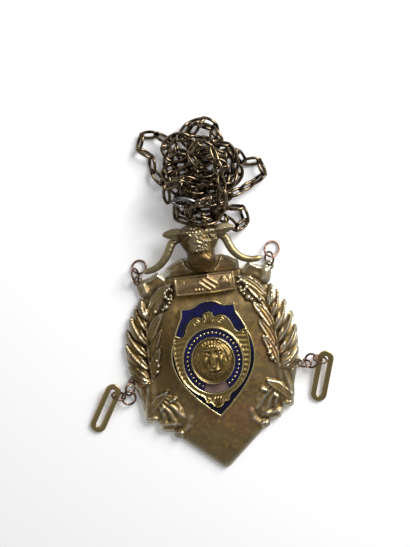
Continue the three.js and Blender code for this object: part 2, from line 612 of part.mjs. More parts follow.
const HEAP_ROUTE = [
  { x: 5, y: 73, z: 11 },
  { x: 14, y: 75, z: 10 },
  { x: 23, y: 78, z: 8 },
  { x: 30, y: 83, z: 6 },
  { x: 34.6, y: 89, z: 5 },
  { x: 31, y: 92.5, z: 4.5 },
  { x: 26, y: 88.5, z: 4.5 },
  { x: 23, y: 94, z: 6 },
  { x: 15, y: 94, z: 9 },
  { x: 5, y: 96, z: 10 },
  { x: -3, y: 103, z: 8 },
  { x: 1, y: 110, z: 6 },
  { x: 9, y: 112, z: 5 },
  { x: 14.5, y: 106.5, z: 5 },
  { x: 9, y: 101, z: 6 },
  { x: 0, y: 100, z: 6 },
  { x: 5, y: 105.5, z: 7 },
  { x: 12.5, y: 103, z: 7 },
  { x: 17, y: 98, z: 7 },
  { x: 10, y: 94, z: 7 },
  { x: 1, y: 94, z: 7 },
  { x: -6, y: 97, z: 6 },
  { x: -10, y: 103.5, z: 4 },
  { x: -16, y: 108, z: 3 },
  { x: -21, y: 110, z: 3 },
  { x: -22, y: 103.5, z: 3 },
  { x: -17, y: 96, z: 3 },
  { x: -17, y: 88, z: 3 },
  { x: -10, y: 83, z: 3 },
  { x: 0, y: 86, z: 3 },
  { x: 10, y: 87, z: 3 },
  { x: 18, y: 89, z: 3 },
  { x: 12, y: 93.5, z: 3 },
  { x: 3, y: 92, z: 3 },
  { x: -6, y: 90, z: 3 },
  { x: -11, y: 93.5, z: 3 },
  { x: -8, y: 99, z: 3 },
  { x: 1, y: 98, z: 3.5 },
  { x: 10, y: 99, z: 3 },
  { x: 18, y: 98, z: 3 },
  { x: 21.5, y: 92, z: 3 },
  { x: 22, y: 84, z: 3 },
  { x: 17, y: 79, z: 3 },
  { x: 7, y: 80, z: 3 },
  { x: -3, y: 78.5, z: 3 },
  { x: -9.5, y: 74, z: 3 },
  { x: -8.5, y: 68, z: 3 },
  { x: -4.5, y: 65.6, z: 3.4 },
  { x: 0, y: 65.2, z: 3.4 },
  { x: 6, y: 66, z: 3.4 },
  { x: 14.4, y: 67.4, z: 4 },
  { x: 19.2, y: 63.4, z: 6 },
  { x: 20.6, y: 58.6, z: 6 },
  { x: 22.2, y: 63.6, z: 5 },
  { x: 19, y: 70.6, z: 5 },
  { x: 12, y: 73, z: 6 },
  { x: 4, y: 73.4, z: 6 },
  { x: -4, y: 73.6, z: 6 },
  { x: -9.5, y: 76.5, z: 6 },
  { x: -3, y: 79, z: 6 },
  { x: 7, y: 75.5, z: 6.5 },
  { x: 15, y: 75, z: 7 },
  { x: 18.5, y: 80, z: 7 },
  { x: 13, y: 84, z: 7 },
  { x: 4, y: 82, z: 8 },
  { x: -5, y: 83, z: 8 },
  { x: -11, y: 80, z: 7 },
  { x: -10, y: 86, z: 7 },
  { x: -3, y: 89, z: 8 },
  { x: 6, y: 86, z: 8 },
  { x: 13, y: 79, z: 9 },
  { x: 15.8, y: 71, z: 9.5 },
  { x: 9, y: 67.6, z: 12 },
  { x: 2, y: 67.8, z: 12 },
  { x: -4, y: 71, z: 9 },
  { x: -5, y: 77.5, z: 8.5 },
  { x: -9, y: 83, z: 8 },
  { x: -2, y: 86, z: 9 },
  { x: 7, y: 84, z: 9 },
  { x: 11, y: 77.5, z: 10 },
  { x: 16, y: 83, z: 10 },
  { x: 21, y: 91, z: 8 },
  { x: 21.5, y: 97, z: 6 },
  { x: 14, y: 99, z: 9 },
  { x: 6, y: 104, z: 9 },
  { x: -2, y: 103, z: 10 },
  { x: -10, y: 101, z: 7 },
  { x: -11.5, y: 95.5, z: 6 },
  { x: -4, y: 94, z: 9 },
  { x: 5, y: 95, z: 10 },
  { x: 13, y: 95, z: 11 },
  { x: 18, y: 91, z: 11 },
  { x: 14, y: 86, z: 11 },
  { x: 6, y: 88, z: 11 },
  { x: -2, y: 86, z: 11 },
  { x: -9, y: 89, z: 8 },
  { x: -13.5, y: 90.5, z: 6 },
  { x: -11, y: 84.5, z: 9 },
  { x: -3, y: 82, z: 10 },
  { x: 6, y: 83, z: 10 },
  { x: 13, y: 82, z: 11 },
  { x: 17, y: 87, z: 12 },
  { x: 14, y: 92, z: 13 },
  { x: 7, y: 91, z: 13 },
  { x: 0, y: 93, z: 13 },
  { x: 2, y: 99, z: 13 },
  { x: 9, y: 98, z: 13.5 },
  { x: 13, y: 92, z: 14 },
  { x: 13, y: 84, z: 13 },
  { x: 12.8, y: 73, z: 13.5 },
  { x: 11, y: 67, z: 14.2 },
  { x: 5, y: 64, z: 15.4 },
  { x: -3, y: 64, z: 15.4 },
  { x: -7, y: 67.2, z: 14.2 },
  { x: -1.5, y: 69.4, z: 14.6 },
  { x: 5, y: 70, z: 14.4 },
  { x: 8, y: 75.4, z: 13.6 },
  { x: 3, y: 78.5, z: 12 },
  { x: -5, y: 81.5, z: 12 },
  { x: -11, y: 82.5, z: 11 },
  { x: -14.5, y: 79, z: 10 },
  { x: -12, y: 75, z: 11 },
];

const SETTLE = { rounds: 200, tightening: 120, fall: 0.05, hold: 0.03, floor: 2.2, straightest: 1.6 };
const CLEAR = { strand: 3.8, clasp: 5.0 }; // between the middles of two strands, or of a strand and the clasp
const BEADS = [0, 1 / 3, 2 / 3]; // where along a link its clearance is measured
const HEAD_KEEP_OUT = { x: 0, y: 53.5, z: 5, halfWidth: 12.2, halfLength: 16.4, height: 11.6 };

// The middle of the chain's way through the loop behind the head.
const HOOK_POINT = new THREE.Vector3(0, HEAD_LOOP.y, HEAD_LOOP.z);

// Where the chain starts in line with the clasp's eye (-1), and ends crosswise beyond its hook (1).
function claspEnd(way) {
  const reach = CLASP.length / 2 + CLEARANCE + (way > 0 ? CHAIN.core / 2 : 0);
  return new THREE.Vector3(CLASP.x, CLASP.y, CLASP.z).addScaledVector(heading(CLASP.heading), way * reach);
}

// Points at equal steps along the hand-laid route.
function pacedRoute(steps) {
  const stops = HEAP_ROUTE.map(({ x, y, z }) => new THREE.Vector3(x, y, z));
  const marks = [0];
  for (let i = 1; i < stops.length; i++) marks.push(marks[i - 1] + stops[i].distanceTo(stops[i - 1]));
  const whole = marks[marks.length - 1];
  return Array.from({ length: steps + 1 }, (_, k) => {
    const walked = (whole * k) / steps;
    const i = Math.min(stops.length - 2, Math.max(0, marks.findIndex((mark) => mark > walked) - 1));
    const last = k === steps ? stops.length - 2 : i;
    const share = (walked - marks[last]) / (marks[last + 1] - marks[last]);
    return stops[last].clone().lerp(stops[last + 1], share);
  });
}

// Joints of the settled chain: each round lets them fall, then corrects spacing, bends and contacts.
function settledJoints() {
  const joints = pacedRoute(CHAIN.links);
  const hooked = hookedLink(joints);
  const held = new Set([0, CHAIN.links, hooked, hooked + 1]);
  joints[0].copy(claspEnd(-1));
  joints[CHAIN.links].copy(claspEnd(1));
  joints[hooked].copy(HOOK_POINT).setX(-CHAIN.pitch / 2);
  joints[hooked + 1].copy(HOOK_POINT).setX(CHAIN.pitch / 2);
  const start = joints.map((point) => point.clone());
  const weight = joints.map((_, i) => (held.has(i) ? 0 : 1));
  for (let round = 0; round < SETTLE.rounds + SETTLE.tightening; round++) {
    const settling = round < SETTLE.rounds;
    joints.forEach((point, i) => {
      if (held.has(i) || !settling) return;
      point.x += SETTLE.hold * (start[i].x - point.x);
      point.y += SETTLE.hold * (start[i].y - point.y);
      point.z -= SETTLE.fall;
    });
    separateStrands(joints, weight);
    limitBends(joints, weight);
    spaceJoints(joints, weight);
    joints.forEach((point, i) => {
      if (!held.has(i)) keepOut(point);
    });
  }
  return joints;
}

// The link whose middle starts nearest to the loop behind the head.
function hookedLink(joints) {
  const middles = joints.slice(1).map((point, i) => point.clone().lerp(joints[i], 0.5));
  const distances = middles.map((middle) => middle.distanceTo(HOOK_POINT));
  return distances.indexOf(Math.min(...distances));
}

// Moves two joints along the line between them until they are a given distance apart.
function setApart(joints, weight, a, b, distance) {
  const share = weight[a] + weight[b];
  if (!share) return;
  const gap = joints[b].clone().sub(joints[a]);
  const error = gap.length() - distance;
  gap.setLength(error / share);
  joints[a].addScaledVector(gap, weight[a]);
  joints[b].addScaledVector(gap, -weight[b]);
}

function spaceJoints(joints, weight) {
  const last = joints.length - 2;
  for (let i = 0; i <= last; i++) setApart(joints, weight, i, i + 1, CHAIN.pitch);
  for (let i = last; i >= 0; i--) setApart(joints, weight, i, i + 1, CHAIN.pitch);
}

function limitBends(joints, weight) {
  const nearest = CHAIN.pitch * SETTLE.straightest;
  for (let i = 0; i + 2 < joints.length; i++) {
    if (joints[i].distanceTo(joints[i + 2]) < nearest) setApart(joints, weight, i, i + 2, nearest);
  }
}

// Parts the strands that lie too close, at the few places along each link where they are measured.
// The clasp closes the loop, so it counts as one more link from the last joint to the first.
function separateStrands(joints, weight) {
  const count = joints.length;
  const beadsOf = (link) => BEADS.map((share) => ({ link, next: (link + 1) % count, share }));
  const beads = joints.flatMap((_, link) => beadsOf(link));
  const pointOf = ({ link, next, share }) => joints[link].clone().lerp(joints[next], share);
  const before = beads.map(pointOf);
  for (let a = 0; a < beads.length; a++) {
    for (let b = a + 1; b < beads.length; b++) {
      const between = beads[b].link - beads[a].link;
      const clear = beads[b].link === count - 1 ? CLEAR.clasp : CLEAR.strand;
      if (between < 2 || between > count - 2 || before[a].distanceTo(before[b]) >= clear) continue;
      const gap = pointOf(beads[b]).sub(pointOf(beads[a]));
      const short = clear - gap.length();
      if (short <= 0) continue;
      gap.setLength(short / 2);
      for (const [{ link, next, share }, sign] of [[beads[a], -1], [beads[b], 1]]) {
        joints[link].addScaledVector(gap, sign * (1 - share) * weight[link]);
        joints[next].addScaledVector(gap, sign * share * weight[next]);
      }
    }
  }
}

// Lifts a joint clear of the surface and out of the space round the head.
function keepOut(point) {
  point.z = Math.max(point.z, SETTLE.floor);
  const { x, y, z, halfWidth, halfLength, height } = HEAD_KEEP_OUT;
  const size = new THREE.Vector3(halfWidth, halfLength, height);
  const middle = new THREE.Vector3(x, y, z);
  const inside = point.clone().sub(middle).divide(size);
  const depth = inside.length();
  if (depth >= 1) return;
  point.copy(middle).add(inside.divideScalar(depth).multiply(size));
}

function neckChain() {
  const path = new THREE.CatmullRomCurve3(settledJoints());
  const section = new THREE.Shape(ovalOutline(CHAIN.core / 2, CHAIN.core / 2, CHAIN.sides));
  return new THREE.ExtrudeGeometry(section, { steps: CHAIN.links, extrudePath: path, bevelEnabled: false });
}

// Clasp: a teardrop hook of wire that swells along its back, with a small eye at its narrow end

const CLASP_STEPS = 14;
const CLASP_TAPER = 0.25;

function clasp() {
  const { x, y, z, heading: degrees, length, width, wire, swell } = CLASP;
  const hookLength = length - 2 * CLASP_EYE.radius - CLASP_EYE.wire;
  const middle = (length - hookLength) / 2;
  const flat = new THREE.Vector3(0, 0, 1);
  const rings = Array.from({ length: CLASP_STEPS }, (_, k) => {
    const turn = (2 * Math.PI * k) / CLASP_STEPS;
    const reach = (width / 2 - wire) * (1 + CLASP_TAPER * (Math.cos(turn) - 1));
    const spoke = new THREE.Vector3((hookLength / 2 - wire) * Math.cos(turn), reach * Math.sin(turn), 0);
    const point = spoke.clone().setX(spoke.x + middle);
    const radius = wire + swell * Math.max(0, -Math.sin(turn));
    return circle(point, spoke.normalize().negate(), flat, radius, WIRE_SIDES);
  });
  const eye = torus(CLASP_EYE.radius, CLASP_EYE.wire, EYELET_SIDES);
  eye.translate(CLASP_EYE.radius + CLASP_EYE.wire - length / 2, 0, 0);
  const place = new THREE.Vector3(x, y, z);
  return joined([skin(rings, true), eye].map((piece) => placed(piece, place, heading(degrees), 0)));
}

// The assembled part

const chainOfOffice = new THREE.Group();
chainOfOffice.name = "chain_of_office";

function addPiece(name, geometry, finish) {
  const mesh = new THREE.Mesh(geometry, finish);
  mesh.name = name;
  chainOfOffice.add(mesh);
}

addPiece("backplate", geometryOf(backplate()), FINISHES.brass);
addPiece("ox_head", geometryOf(oxHead()), FINISHES.brass);
addPiece("hands_plaque", geometryOf(handsPlaque()), FINISHES.brass);
addPiece("shield", geometryOf(shield()), FINISHES.brass);
addPiece("enamel_upper", geometryOf(enamelField(true)), FINISHES.enamel);
addPiece("enamel_lower", geometryOf(enamelField(false)), FINISHES.enamel);
addPiece("enamel_band", geometryOf(enamelBand()), FINISHES.enamel);
addPiece("lion_medallion", geometryOf(lionMedallion()), FINISHES.brass);
for (const row of JUMP_RINGS) addPiece(row.name, jumpRing(row), FINISHES.ring);
for (const row of LONG_LINKS) addPiece(row.name, longLink(row), FINISHES.brass);
addPiece("neck_chain", neckChain(), FINISHES.chain);
addPiece("clasp", geometryOf(clasp()), FINISHES.steel);

export default chainOfOffice;
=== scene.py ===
# %% [markdown]
# # A chain of office in aged brass
# The real object is a cast breast badge: a pointed plate with two laurel branches, an ox head, a
# plaque of clasped hands and an enamelled shield, lying on its back under its heaped neck chain.
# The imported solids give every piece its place. This lesson makes a finer piece over each solid.
# All shapes below are worked out in millimetres and turned into metres once, when a mesh is made.

# %% Load the solids
import math

import bpy
import numpy as np
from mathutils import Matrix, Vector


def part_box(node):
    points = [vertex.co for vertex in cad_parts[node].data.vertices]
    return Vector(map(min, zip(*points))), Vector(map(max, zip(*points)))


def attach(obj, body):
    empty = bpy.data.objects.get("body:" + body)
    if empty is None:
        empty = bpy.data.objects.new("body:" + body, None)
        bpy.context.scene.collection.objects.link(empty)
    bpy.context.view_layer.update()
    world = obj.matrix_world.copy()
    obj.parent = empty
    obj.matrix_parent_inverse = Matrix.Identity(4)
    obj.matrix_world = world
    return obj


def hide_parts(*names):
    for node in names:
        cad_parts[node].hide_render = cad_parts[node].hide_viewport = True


MM = 0.001

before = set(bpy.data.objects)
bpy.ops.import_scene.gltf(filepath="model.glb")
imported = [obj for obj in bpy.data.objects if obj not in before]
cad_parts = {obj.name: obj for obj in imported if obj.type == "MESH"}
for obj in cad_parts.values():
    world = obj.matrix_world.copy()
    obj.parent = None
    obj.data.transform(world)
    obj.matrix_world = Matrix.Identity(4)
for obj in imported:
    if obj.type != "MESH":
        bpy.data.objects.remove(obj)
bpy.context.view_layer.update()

# %% [markdown]
# ## Camera, floor and light
# The badge was photographed from straight above with its head leaning a little to the left. The
# camera could be tilted until it looks right. It is simpler to put it overhead at the place that the
# middle of the picture shows, turn it by the lean, and let the picture's height in millimetres set
# the lens. The floor is white and the metal dark, so the sky is dim and one wide lamp at the upper
# right lights the floor: flat metal then mirrors the dim sky, and only slopes catch the lamp.

# %% Camera
VIEW_MIDDLE = (0.75, 40.7)
VIEW_HEIGHT = 256.0
VIEW_LEAN = math.radians(-7)
CAMERA_DISTANCE = 450.0
BADGE_LEVEL = 5.0
CLIP_START = 10.0

scene = bpy.context.scene
camera = bpy.data.objects.new("camera", bpy.data.cameras.new("camera"))
scene.collection.objects.link(camera)
camera.location = (VIEW_MIDDLE[0] * MM, VIEW_MIDDLE[1] * MM, (CAMERA_DISTANCE + BADGE_LEVEL) * MM)
camera.rotation_euler = (0, 0, VIEW_LEAN)
camera.data.sensor_fit = "VERTICAL"
camera.data.angle = 2 * math.atan(VIEW_HEIGHT / 2 / CAMERA_DISTANCE)
camera.data.clip_start = CLIP_START * MM
scene.camera = camera
print("lens:", round(camera.data.lens, 1), "mm")

# %% Light
SKY = 0.25
LAMPS = (
    # name, place, size, watts
    ("window_lamp", (480, 400, 420), 440, 7.8),
    ("left_fill", (-420, 120, 420), 500, 0.4),
)


def lamp(name, place, size, watts):
    light = bpy.data.lights.new(name, "AREA")
    light.energy = watts
    light.size = size * MM
    holder = bpy.data.objects.new(name, light)
    scene.collection.objects.link(holder)
    holder.location = [c * MM for c in place]
    aim = camera.location.copy()
    aim.z = 0
    holder.rotation_euler = (aim - holder.location).to_track_quat("-Z", "Y").to_euler()


for row in LAMPS:
    lamp(*row)
scene.world = bpy.data.worlds.new("sky")
scene.world.use_nodes = True
sky = scene.world.node_tree.nodes["Background"]
sky.inputs["Color"].default_value = (SKY, SKY, SKY, 1)
scene.view_settings.view_transform = "Standard"
print("lamps:", len(LAMPS), "sky:", SKY)

# %% [markdown]
# ## Shader sums
# A finish is a small sum: dull brass, plus worn edges, minus dirt in the hollows. Wiring each Math
# node by hand hides that sum, so one class wraps a socket and lets Python's own signs add the nodes.

# %% Sockets that can be added and multiplied


class Tone:
    """A socket of a finish, used like a number."""

    def __init__(self, finish, socket):
        self.finish = finish
        self.socket = socket

    def sum(self, operation, first, second):
        return self.finish.node("ShaderNodeMath", {"operation": operation}, {0: first, 1: second})

    def __add__(self, other):
        return self.sum("ADD", self, other)

    def __radd__(self, other):
        return self.sum("ADD", other, self)

    def __sub__(self, other):
        return self.sum("SUBTRACT", self, other)

    def __rsub__(self, other):
        return self.sum("SUBTRACT", other, self)

    def __mul__(self, other):
        return self.sum("MULTIPLY", self, other)

    def __rmul__(self, other):
        return self.sum("MULTIPLY", other, self)


print("helper: Tone")

# %% A material with its shader and colours


class Finish:
    """One material, with a Principled shader and the nodes that feed it."""

    def __init__(self, name):
        self.material = bpy.data.materials.new(name)
        self.material.use_nodes = True
        self.tree = self.material.node_tree
        self.shader = self.tree.nodes["Principled BSDF"]
        self.place = self.node("ShaderNodeTexCoord", {}, {}, "Object")

    def node(self, kind, settings, sockets, output=0):
        made = self.tree.nodes.new(kind)
        for key, value in settings.items():
            setattr(made, key, value)
        for key, value in sockets.items():
            self.plug(made.inputs[key], value)
        return Tone(self, made.outputs[output])

    def plug(self, socket, value):
        if isinstance(value, Tone):
            self.tree.links.new(value.socket, socket)
        else:
            socket.default_value = value

    def set(self, **sockets):
        for key, value in sockets.items():
            self.plug(self.shader.inputs[key.replace("_", " ")], value)

    def blend(self, share, first, second):
        colours = {0: share, 6: first, 7: second}
        return self.node("ShaderNodeMix", {"data_type": "RGBA"}, colours, 2)

    def step(self, value, low, high):
        ends = {0: value, 1: low, 2: high}
        return self.node("ShaderNodeMapRange", {"interpolation_type": "SMOOTHSTEP"}, ends)

    def noise(self, grain_mm, detail=3.0, drift=0.0):
        settings = {"noise_dimensions": "4D"}
        sockets = {"Vector": self.place, "W": drift, "Scale": 1 / (grain_mm * MM), "Detail": detail}
        return self.node("ShaderNodeTexNoise", settings, sockets)

    def stored(self, name):
        return self.node("ShaderNodeAttribute", {"attribute_name": name}, {}, "Fac")

    def bump(self, height, depth_mm, strength=1.0):
        sockets = {"Height": height, "Distance": depth_mm * MM, "Strength": strength}
        self.set(Normal=self.node("ShaderNodeBump", {}, sockets))


def colour(red, green, blue):
    """A colour as a screen shows it, 0 to 255, in the linear values that a shader takes."""
    shares = (red / 255, green / 255, blue / 255)
    linear = [s / 12.92 if s <= 0.04045 else ((s + 0.055) / 1.055) ** 2.4 for s in shares]
    return (*linear, 1.0)


print("helpers: Finish, colour")

# %% Floor
FLOOR_SIZE, FLOOR_GLOW = 4000.0, 0.13

floor_finish = Finish("studio_paper")
floor_finish.set(Base_Color=colour(245, 245, 246), Roughness=0.9)
floor_finish.set(Emission_Color=(1, 1, 1, 1), Emission_Strength=FLOOR_GLOW)
bpy.ops.mesh.primitive_plane_add(size=FLOOR_SIZE * MM)
floor = bpy.context.object
floor.name = "studio_floor"
floor.data.materials.append(floor_finish.material)
print("finish:", floor_finish.material.name)

# %% [markdown]
# ## Finishes
# The castings are brass that has dulled to olive brown, with golden patches. Handling keeps the high
# edges bright, dirt stays in the hollows, and a pinkish stain runs over the plate. Brown is also
# painted on as shade: on the plate's left side, away from the lamp, under the plaque and along the
# point, and on the head as grime and painted shade over the cheeks, the left one most, and the
# muzzle. The finish could be painted from noise alone, but then bright spots would fall anywhere.
# Each mesh therefore stores how hollow it is at every point, and the plate and the head also store
# where their grime and painted shade lie. The finish reads both: hollows go dark and rough, crests go
# bright and smooth, and grime and painted shade hide most of the bright crests.

# %% Aged brass
GILT, FLECK = colour(190, 154, 84), colour(60, 46, 26)
# The first brown stands for grime and painted shade, the second for dirt in the hollows.
GRIME_AND_SHADE, DIRT = colour(82, 61, 25), colour(40, 31, 17)
STAIN_SPOTS = (
    # middle, reach
    ((9, -29, 4), 14), ((24, 4, 4), 13),
)
BRASSES = (
    # name, worn, dull and stained colours, share of stain, roughness, further stains
    ("plate_brass", (212, 206, 184), (156, 135, 96), (160, 116, 88), 0.65, 0.42, STAIN_SPOTS),
    ("head_brass", (232, 228, 212), (158, 144, 110), (124, 98, 50), 0.5, 0.4, ()),
    ("plaque_brass", (216, 198, 160), (170, 144, 106), (140, 110, 78), 0.4, 0.4, ()),
    ("shield_brass", (226, 212, 164), (160, 138, 88), (134, 108, 64), 0.3, 0.34, ()),
    ("lion_brass", (222, 208, 166), (136, 114, 70), (112, 90, 50), 0.3, 0.36, ()),
    ("link_brass", (190, 170, 122), (150, 126, 80), (118, 94, 60), 0.4, 0.36, ()),
)


def shaded(tint, share):
    return [c * share for c in tint[:3]] + [1.0]


def aged_brass(name, worn, dull, stain, stain_share, roughness, spots):
    finish = Finish(name)
    worn, dull, stain = colour(*worn), colour(*dull), colour(*stain)
    hollow = finish.stored("hollow")
    dirt = finish.step(hollow, 0.03, 0.4)
    crest = finish.step(0 - hollow, 0.02, 0.26)
    cloud = finish.noise(7.0, 5.0)
    mottle = finish.step(finish.noise(1.9, 5.0, 11.0), 0.42, 0.62)
    blotch = finish.step(finish.noise(15.0, 4.0, 3.0), 0.47, 0.68)
    fleck = finish.step(finish.noise(0.7, 4.0, 7.0), 0.54, 0.72)
    for middle, reach in spots:
        ends = {0: finish.place, 1: [c * MM for c in middle]}
        away = finish.node("ShaderNodeVectorMath", {"operation": "DISTANCE"}, ends, "Value")
        near = finish.step(away, reach * MM, 0.2 * reach * MM)
        blotch = blotch + 0.8 * near * (0.5 + mottle)
    blotch = finish.step(blotch, 0.1, 1.2)
    gilt = finish.step(finish.noise(2.0, 7.0, 13.0) + 0.5 * cloud, 0.74, 0.9)
    body = finish.blend(finish.step(cloud, 0.35, 0.7), dull, shaded(dull, 0.66))
    body = finish.blend(mottle * 0.4, body, shaded(dull, 0.55))
    body = finish.blend(blotch * stain_share, body, stain)
    body = finish.blend(gilt * 0.5, body, GILT)
    body = finish.blend(fleck * 0.3, body, FLECK)
    # Grime and painted shade: brown where the mesh stores it, with fewer bright worn crests there.
    grime_and_shade = finish.stored("grime_and_shade")
    body = finish.blend(grime_and_shade * (0.7 + 0.3 * cloud), body, GRIME_AND_SHADE)
    body = finish.blend(crest * (0.5 + 0.5 * cloud) * (1 - 0.75 * grime_and_shade), body, worn)
    body = finish.blend(dirt * 0.82, body, DIRT)
    finish.set(Base_Color=body, Metallic=1.0 - 0.3 * dirt)
    finish.set(Roughness=roughness + 0.18 * dirt + 0.12 * fleck + 0.06 * mottle - 0.12 * crest)
    grain = finish.noise(0.35, 4.0, 1.0) + 1.2 * finish.noise(1.6, 3.0, 2.0)
    finish.bump(grain, 0.06, 0.6)
    return finish


brasses = [aged_brass(*row) for row in BRASSES]
plate_brass, head_brass, plaque_brass, shield_brass, lion_brass, link_brass = brasses
print("brass finishes:", len(brasses))

# %% [markdown]
# The rings, the chain and the clasp are drawn wire: copper-coloured, dark bronze and steel. Each could
# have its own recipe, but all are a bright tone with clouds of tarnish, so one function makes them.

# %% Wires
WIRE_DIRT = colour(24, 18, 12)


def wire_finish(name, bright, dark, roughness):
    finish = Finish(name)
    cloud = finish.noise(2.2, 4.0, 5.0)
    dull = finish.step(cloud, 0.4, 0.66)
    dirt = finish.step(finish.stored("hollow"), 0.0, 0.1)
    shade = finish.blend(dull, bright, dark)
    shade = finish.blend(dirt * 0.7, shade, WIRE_DIRT)
    finish.set(Base_Color=shade, Metallic=1.0)
    finish.set(Roughness=roughness + 0.18 * dull + 0.12 * dirt)
    finish.bump(finish.noise(0.25, 4.0, 6.0), 0.02, 0.5)
    return finish


ring_copper = wire_finish("ring_copper", colour(146, 116, 98), colour(74, 54, 44), 0.22)
chain_bronze = wire_finish("chain_bronze", colour(128, 111, 87), colour(13, 10, 7), 0.14)
clasp_steel = wire_finish("clasp_steel", colour(170, 170, 172), colour(92, 90, 88), 0.26)
print("wire finishes: 3")

# %% [markdown]
# The shield's fields are deep blue glass melted into the brass. Glass could be made see-through over
# a metal floor, but at half a millimetre deep it shows one colour. An opaque blue under a clear coat
# gives the same gloss, and a little noise gives the cloudy spots and pits of old enamel. The lower
# field has less gloss and a darker mix of its own: its near-black blue is painted shade, for the dark
# that it mirrors.

# %% Enamel
PIT_GREY = colour(70, 70, 96)
LABEL_PINKS = colour(96, 76, 72), colour(124, 100, 94)


def blue_enamel(name, deep, pale, gloss):
    finish = Finish(name)
    cloud = finish.step(finish.noise(4.0, 4.0, 8.0), 0.35, 0.7)
    pits = finish.step(finish.noise(0.4, 2.0, 9.0), 0.66, 0.74)
    label = finish.stored("label")
    blue = finish.blend(cloud, deep, pale)
    blue = finish.blend(pits * 0.4, blue, PIT_GREY)
    pink = finish.blend(cloud, *LABEL_PINKS)
    finish.set(Base_Color=finish.blend(label, blue, pink), Metallic=0.0, Roughness=0.2 + 0.3 * pits)
    finish.set(Coat_Weight=gloss - 0.3 * gloss * pits, Coat_Roughness=0.06, Specular_IOR_Level=0.3)
    finish.bump(finish.noise(1.2, 2.0, 4.0), 0.03, 0.4)
    return finish


shield_enamel = blue_enamel("shield_enamel", colour(7, 7, 44), colour(12, 13, 76), 0.4)
# The lower field's near-black blue is painted shade, for the dark that it mirrors, and its gloss is low.
lower_enamel_painted_shade = blue_enamel("lower_enamel_painted_shade", colour(4, 4, 20), colour(7, 7, 42), 0.15)
print("finishes:", shield_enamel.material.name, lower_enamel_painted_shade.material.name)

# %% [markdown]
# ## From numbers to meshes
# Two helpers make almost every piece. A skin joins rings of points, as wires and horns need. A
# relief raises a fine grid inside an outline to a height map, as a die does when it strikes a plate:
# sculpting by hand would also work, but a height map can be read, repeated and put right by numbers.

# %% Skins
ODD_WAY = (0.31, 0.17, 0.93)


def skin(rings, meets_itself):
    """Points and faces that join rings of points, with capped ends unless it meets itself."""
    rings = np.asarray(rings, float)
    count, sides = rings.shape[:2]
    grid = np.arange(count * sides).reshape(count, sides)
    here = grid if meets_itself else grid[:-1]
    beyond = np.roll(grid, -1, 0) if meets_itself else grid[1:]
    corners = (here, np.roll(here, -1, 1), np.roll(beyond, -1, 1), beyond)
    faces = np.stack(corners, -1).reshape(-1, 4).tolist()
    if not meets_itself:
        faces += [grid[0][::-1].tolist(), grid[-1].tolist()]
    return rings.reshape(-1, 3), faces


def unit(vector):
    return vector / np.maximum(np.linalg.norm(vector, axis=-1, keepdims=True), 1e-9)


def wire(path, radius, sides, meets_itself):
    """A round wire along a path; the radius is one number or one for each point.

    Its sides start square to an odd way, which no wire here runs along.
    """
    path = np.asarray(path, float)
    if meets_itself:
        ahead = np.roll(path, -1, 0) - np.roll(path, 1, 0)
    else:
        ahead = np.gradient(path, axis=0)
    ahead = unit(ahead)
    normal = np.cross(ahead[0], ODD_WAY)
    turn = np.linspace(0, 2 * math.pi, sides, endpoint=False)[:, None]
    radii = np.broadcast_to(radius, len(path))
    rings = []
    for point, along, reach in zip(path, ahead, radii):
        normal = unit(normal - along * np.dot(normal, along))
        across = np.cross(along, normal)
        rings.append(point + reach * (np.cos(turn) * normal + np.sin(turn) * across))
    return skin(rings, meets_itself)


def joined(parts):
    """Several skins or reliefs as one list of points and one of faces."""
    points, faces, start = [], [], 0
    for part_points, part_faces in parts:
        points.append(part_points)
        faces += [[start + corner for corner in face] for face in part_faces]
        start += len(part_points)
    return np.concatenate(points), faces


print("helpers: skin, wire, joined")

# %% Reliefs
EDGE_SHARE, EDGE_NUDGE = 0.3, 0.02
EDGE_ROUNDS, LEAST_STEEPNESS = 4, 0.2


def relief(inside, height, low, high, step, foot):
    """A closed solid over the area where inside(x, y) is above 0, raised to height(x, y)."""
    columns = np.arange(low[0], high[0] + step, step)
    rows = np.arange(low[1], high[1] + step, step)
    x, y = np.meshgrid(columns, rows)
    core = inside(x, y) > EDGE_SHARE * step
    core[[0, -1]] = False
    core[:, [0, -1]] = False
    cell = core[:-1, :-1] | core[1:, :-1] | core[:-1, 1:] | core[1:, 1:]
    used = np.zeros_like(core)
    for down, right in ((0, 0), (0, 1), (1, 0), (1, 1)):
        used[down:down + cell.shape[0], right:right + cell.shape[1]] |= cell
    rim = used & ~core
    rim_x, rim_y = x[rim], y[rim]
    for _ in range(EDGE_ROUNDS):
        value = inside(rim_x, rim_y)
        slope_x = (inside(rim_x + EDGE_NUDGE, rim_y) - value) / EDGE_NUDGE
        slope_y = (inside(rim_x, rim_y + EDGE_NUDGE) - value) / EDGE_NUDGE
        steepness = np.maximum(slope_x ** 2 + slope_y ** 2, LEAST_STEEPNESS)
        move = np.clip(value / steepness, -step, step)
        rim_x = rim_x - move * slope_x
        rim_y = rim_y - move * slope_y
    x[rim], y[rim] = rim_x, rim_y
    number = np.full(core.shape, -1)
    number[used] = np.arange(used.sum())
    top = np.stack([x[used], y[used], height(x[used], y[used])], 1)
    bottom = top * (1, 1, 0) + (0, 0, foot)
    count = len(top)
    corner = (number[:-1, :-1], number[:-1, 1:], number[1:, 1:], number[1:, :-1])
    lid = np.stack([c[cell] for c in corner], 1)
    padded = np.pad(cell, 1)
    sides = (padded[:-2, 1:-1], padded[1:-1, 2:], padded[2:, 1:-1], padded[1:-1, :-2])
    walls = []
    for k, beyond in enumerate(sides):
        open_side = cell & ~beyond
        start, end = corner[k][open_side], corner[(k + 1) % 4][open_side]
        walls.append(np.stack([end, start, start + count, end + count], 1))
    faces = np.concatenate([lid, lid[:, ::-1] + count, *walls])
    return np.concatenate([top, bottom]), faces.tolist()


print("helper: relief")

# %% Pieces in the frame
HOLLOW_ROUNDS, SOFTEN_ROUNDS = 10, 2
CREASE = math.radians(50)


def store(mesh, name, values):
    mesh.attributes.new(name, "FLOAT", "POINT").data.foreach_set("value", np.asarray(values, np.float32))


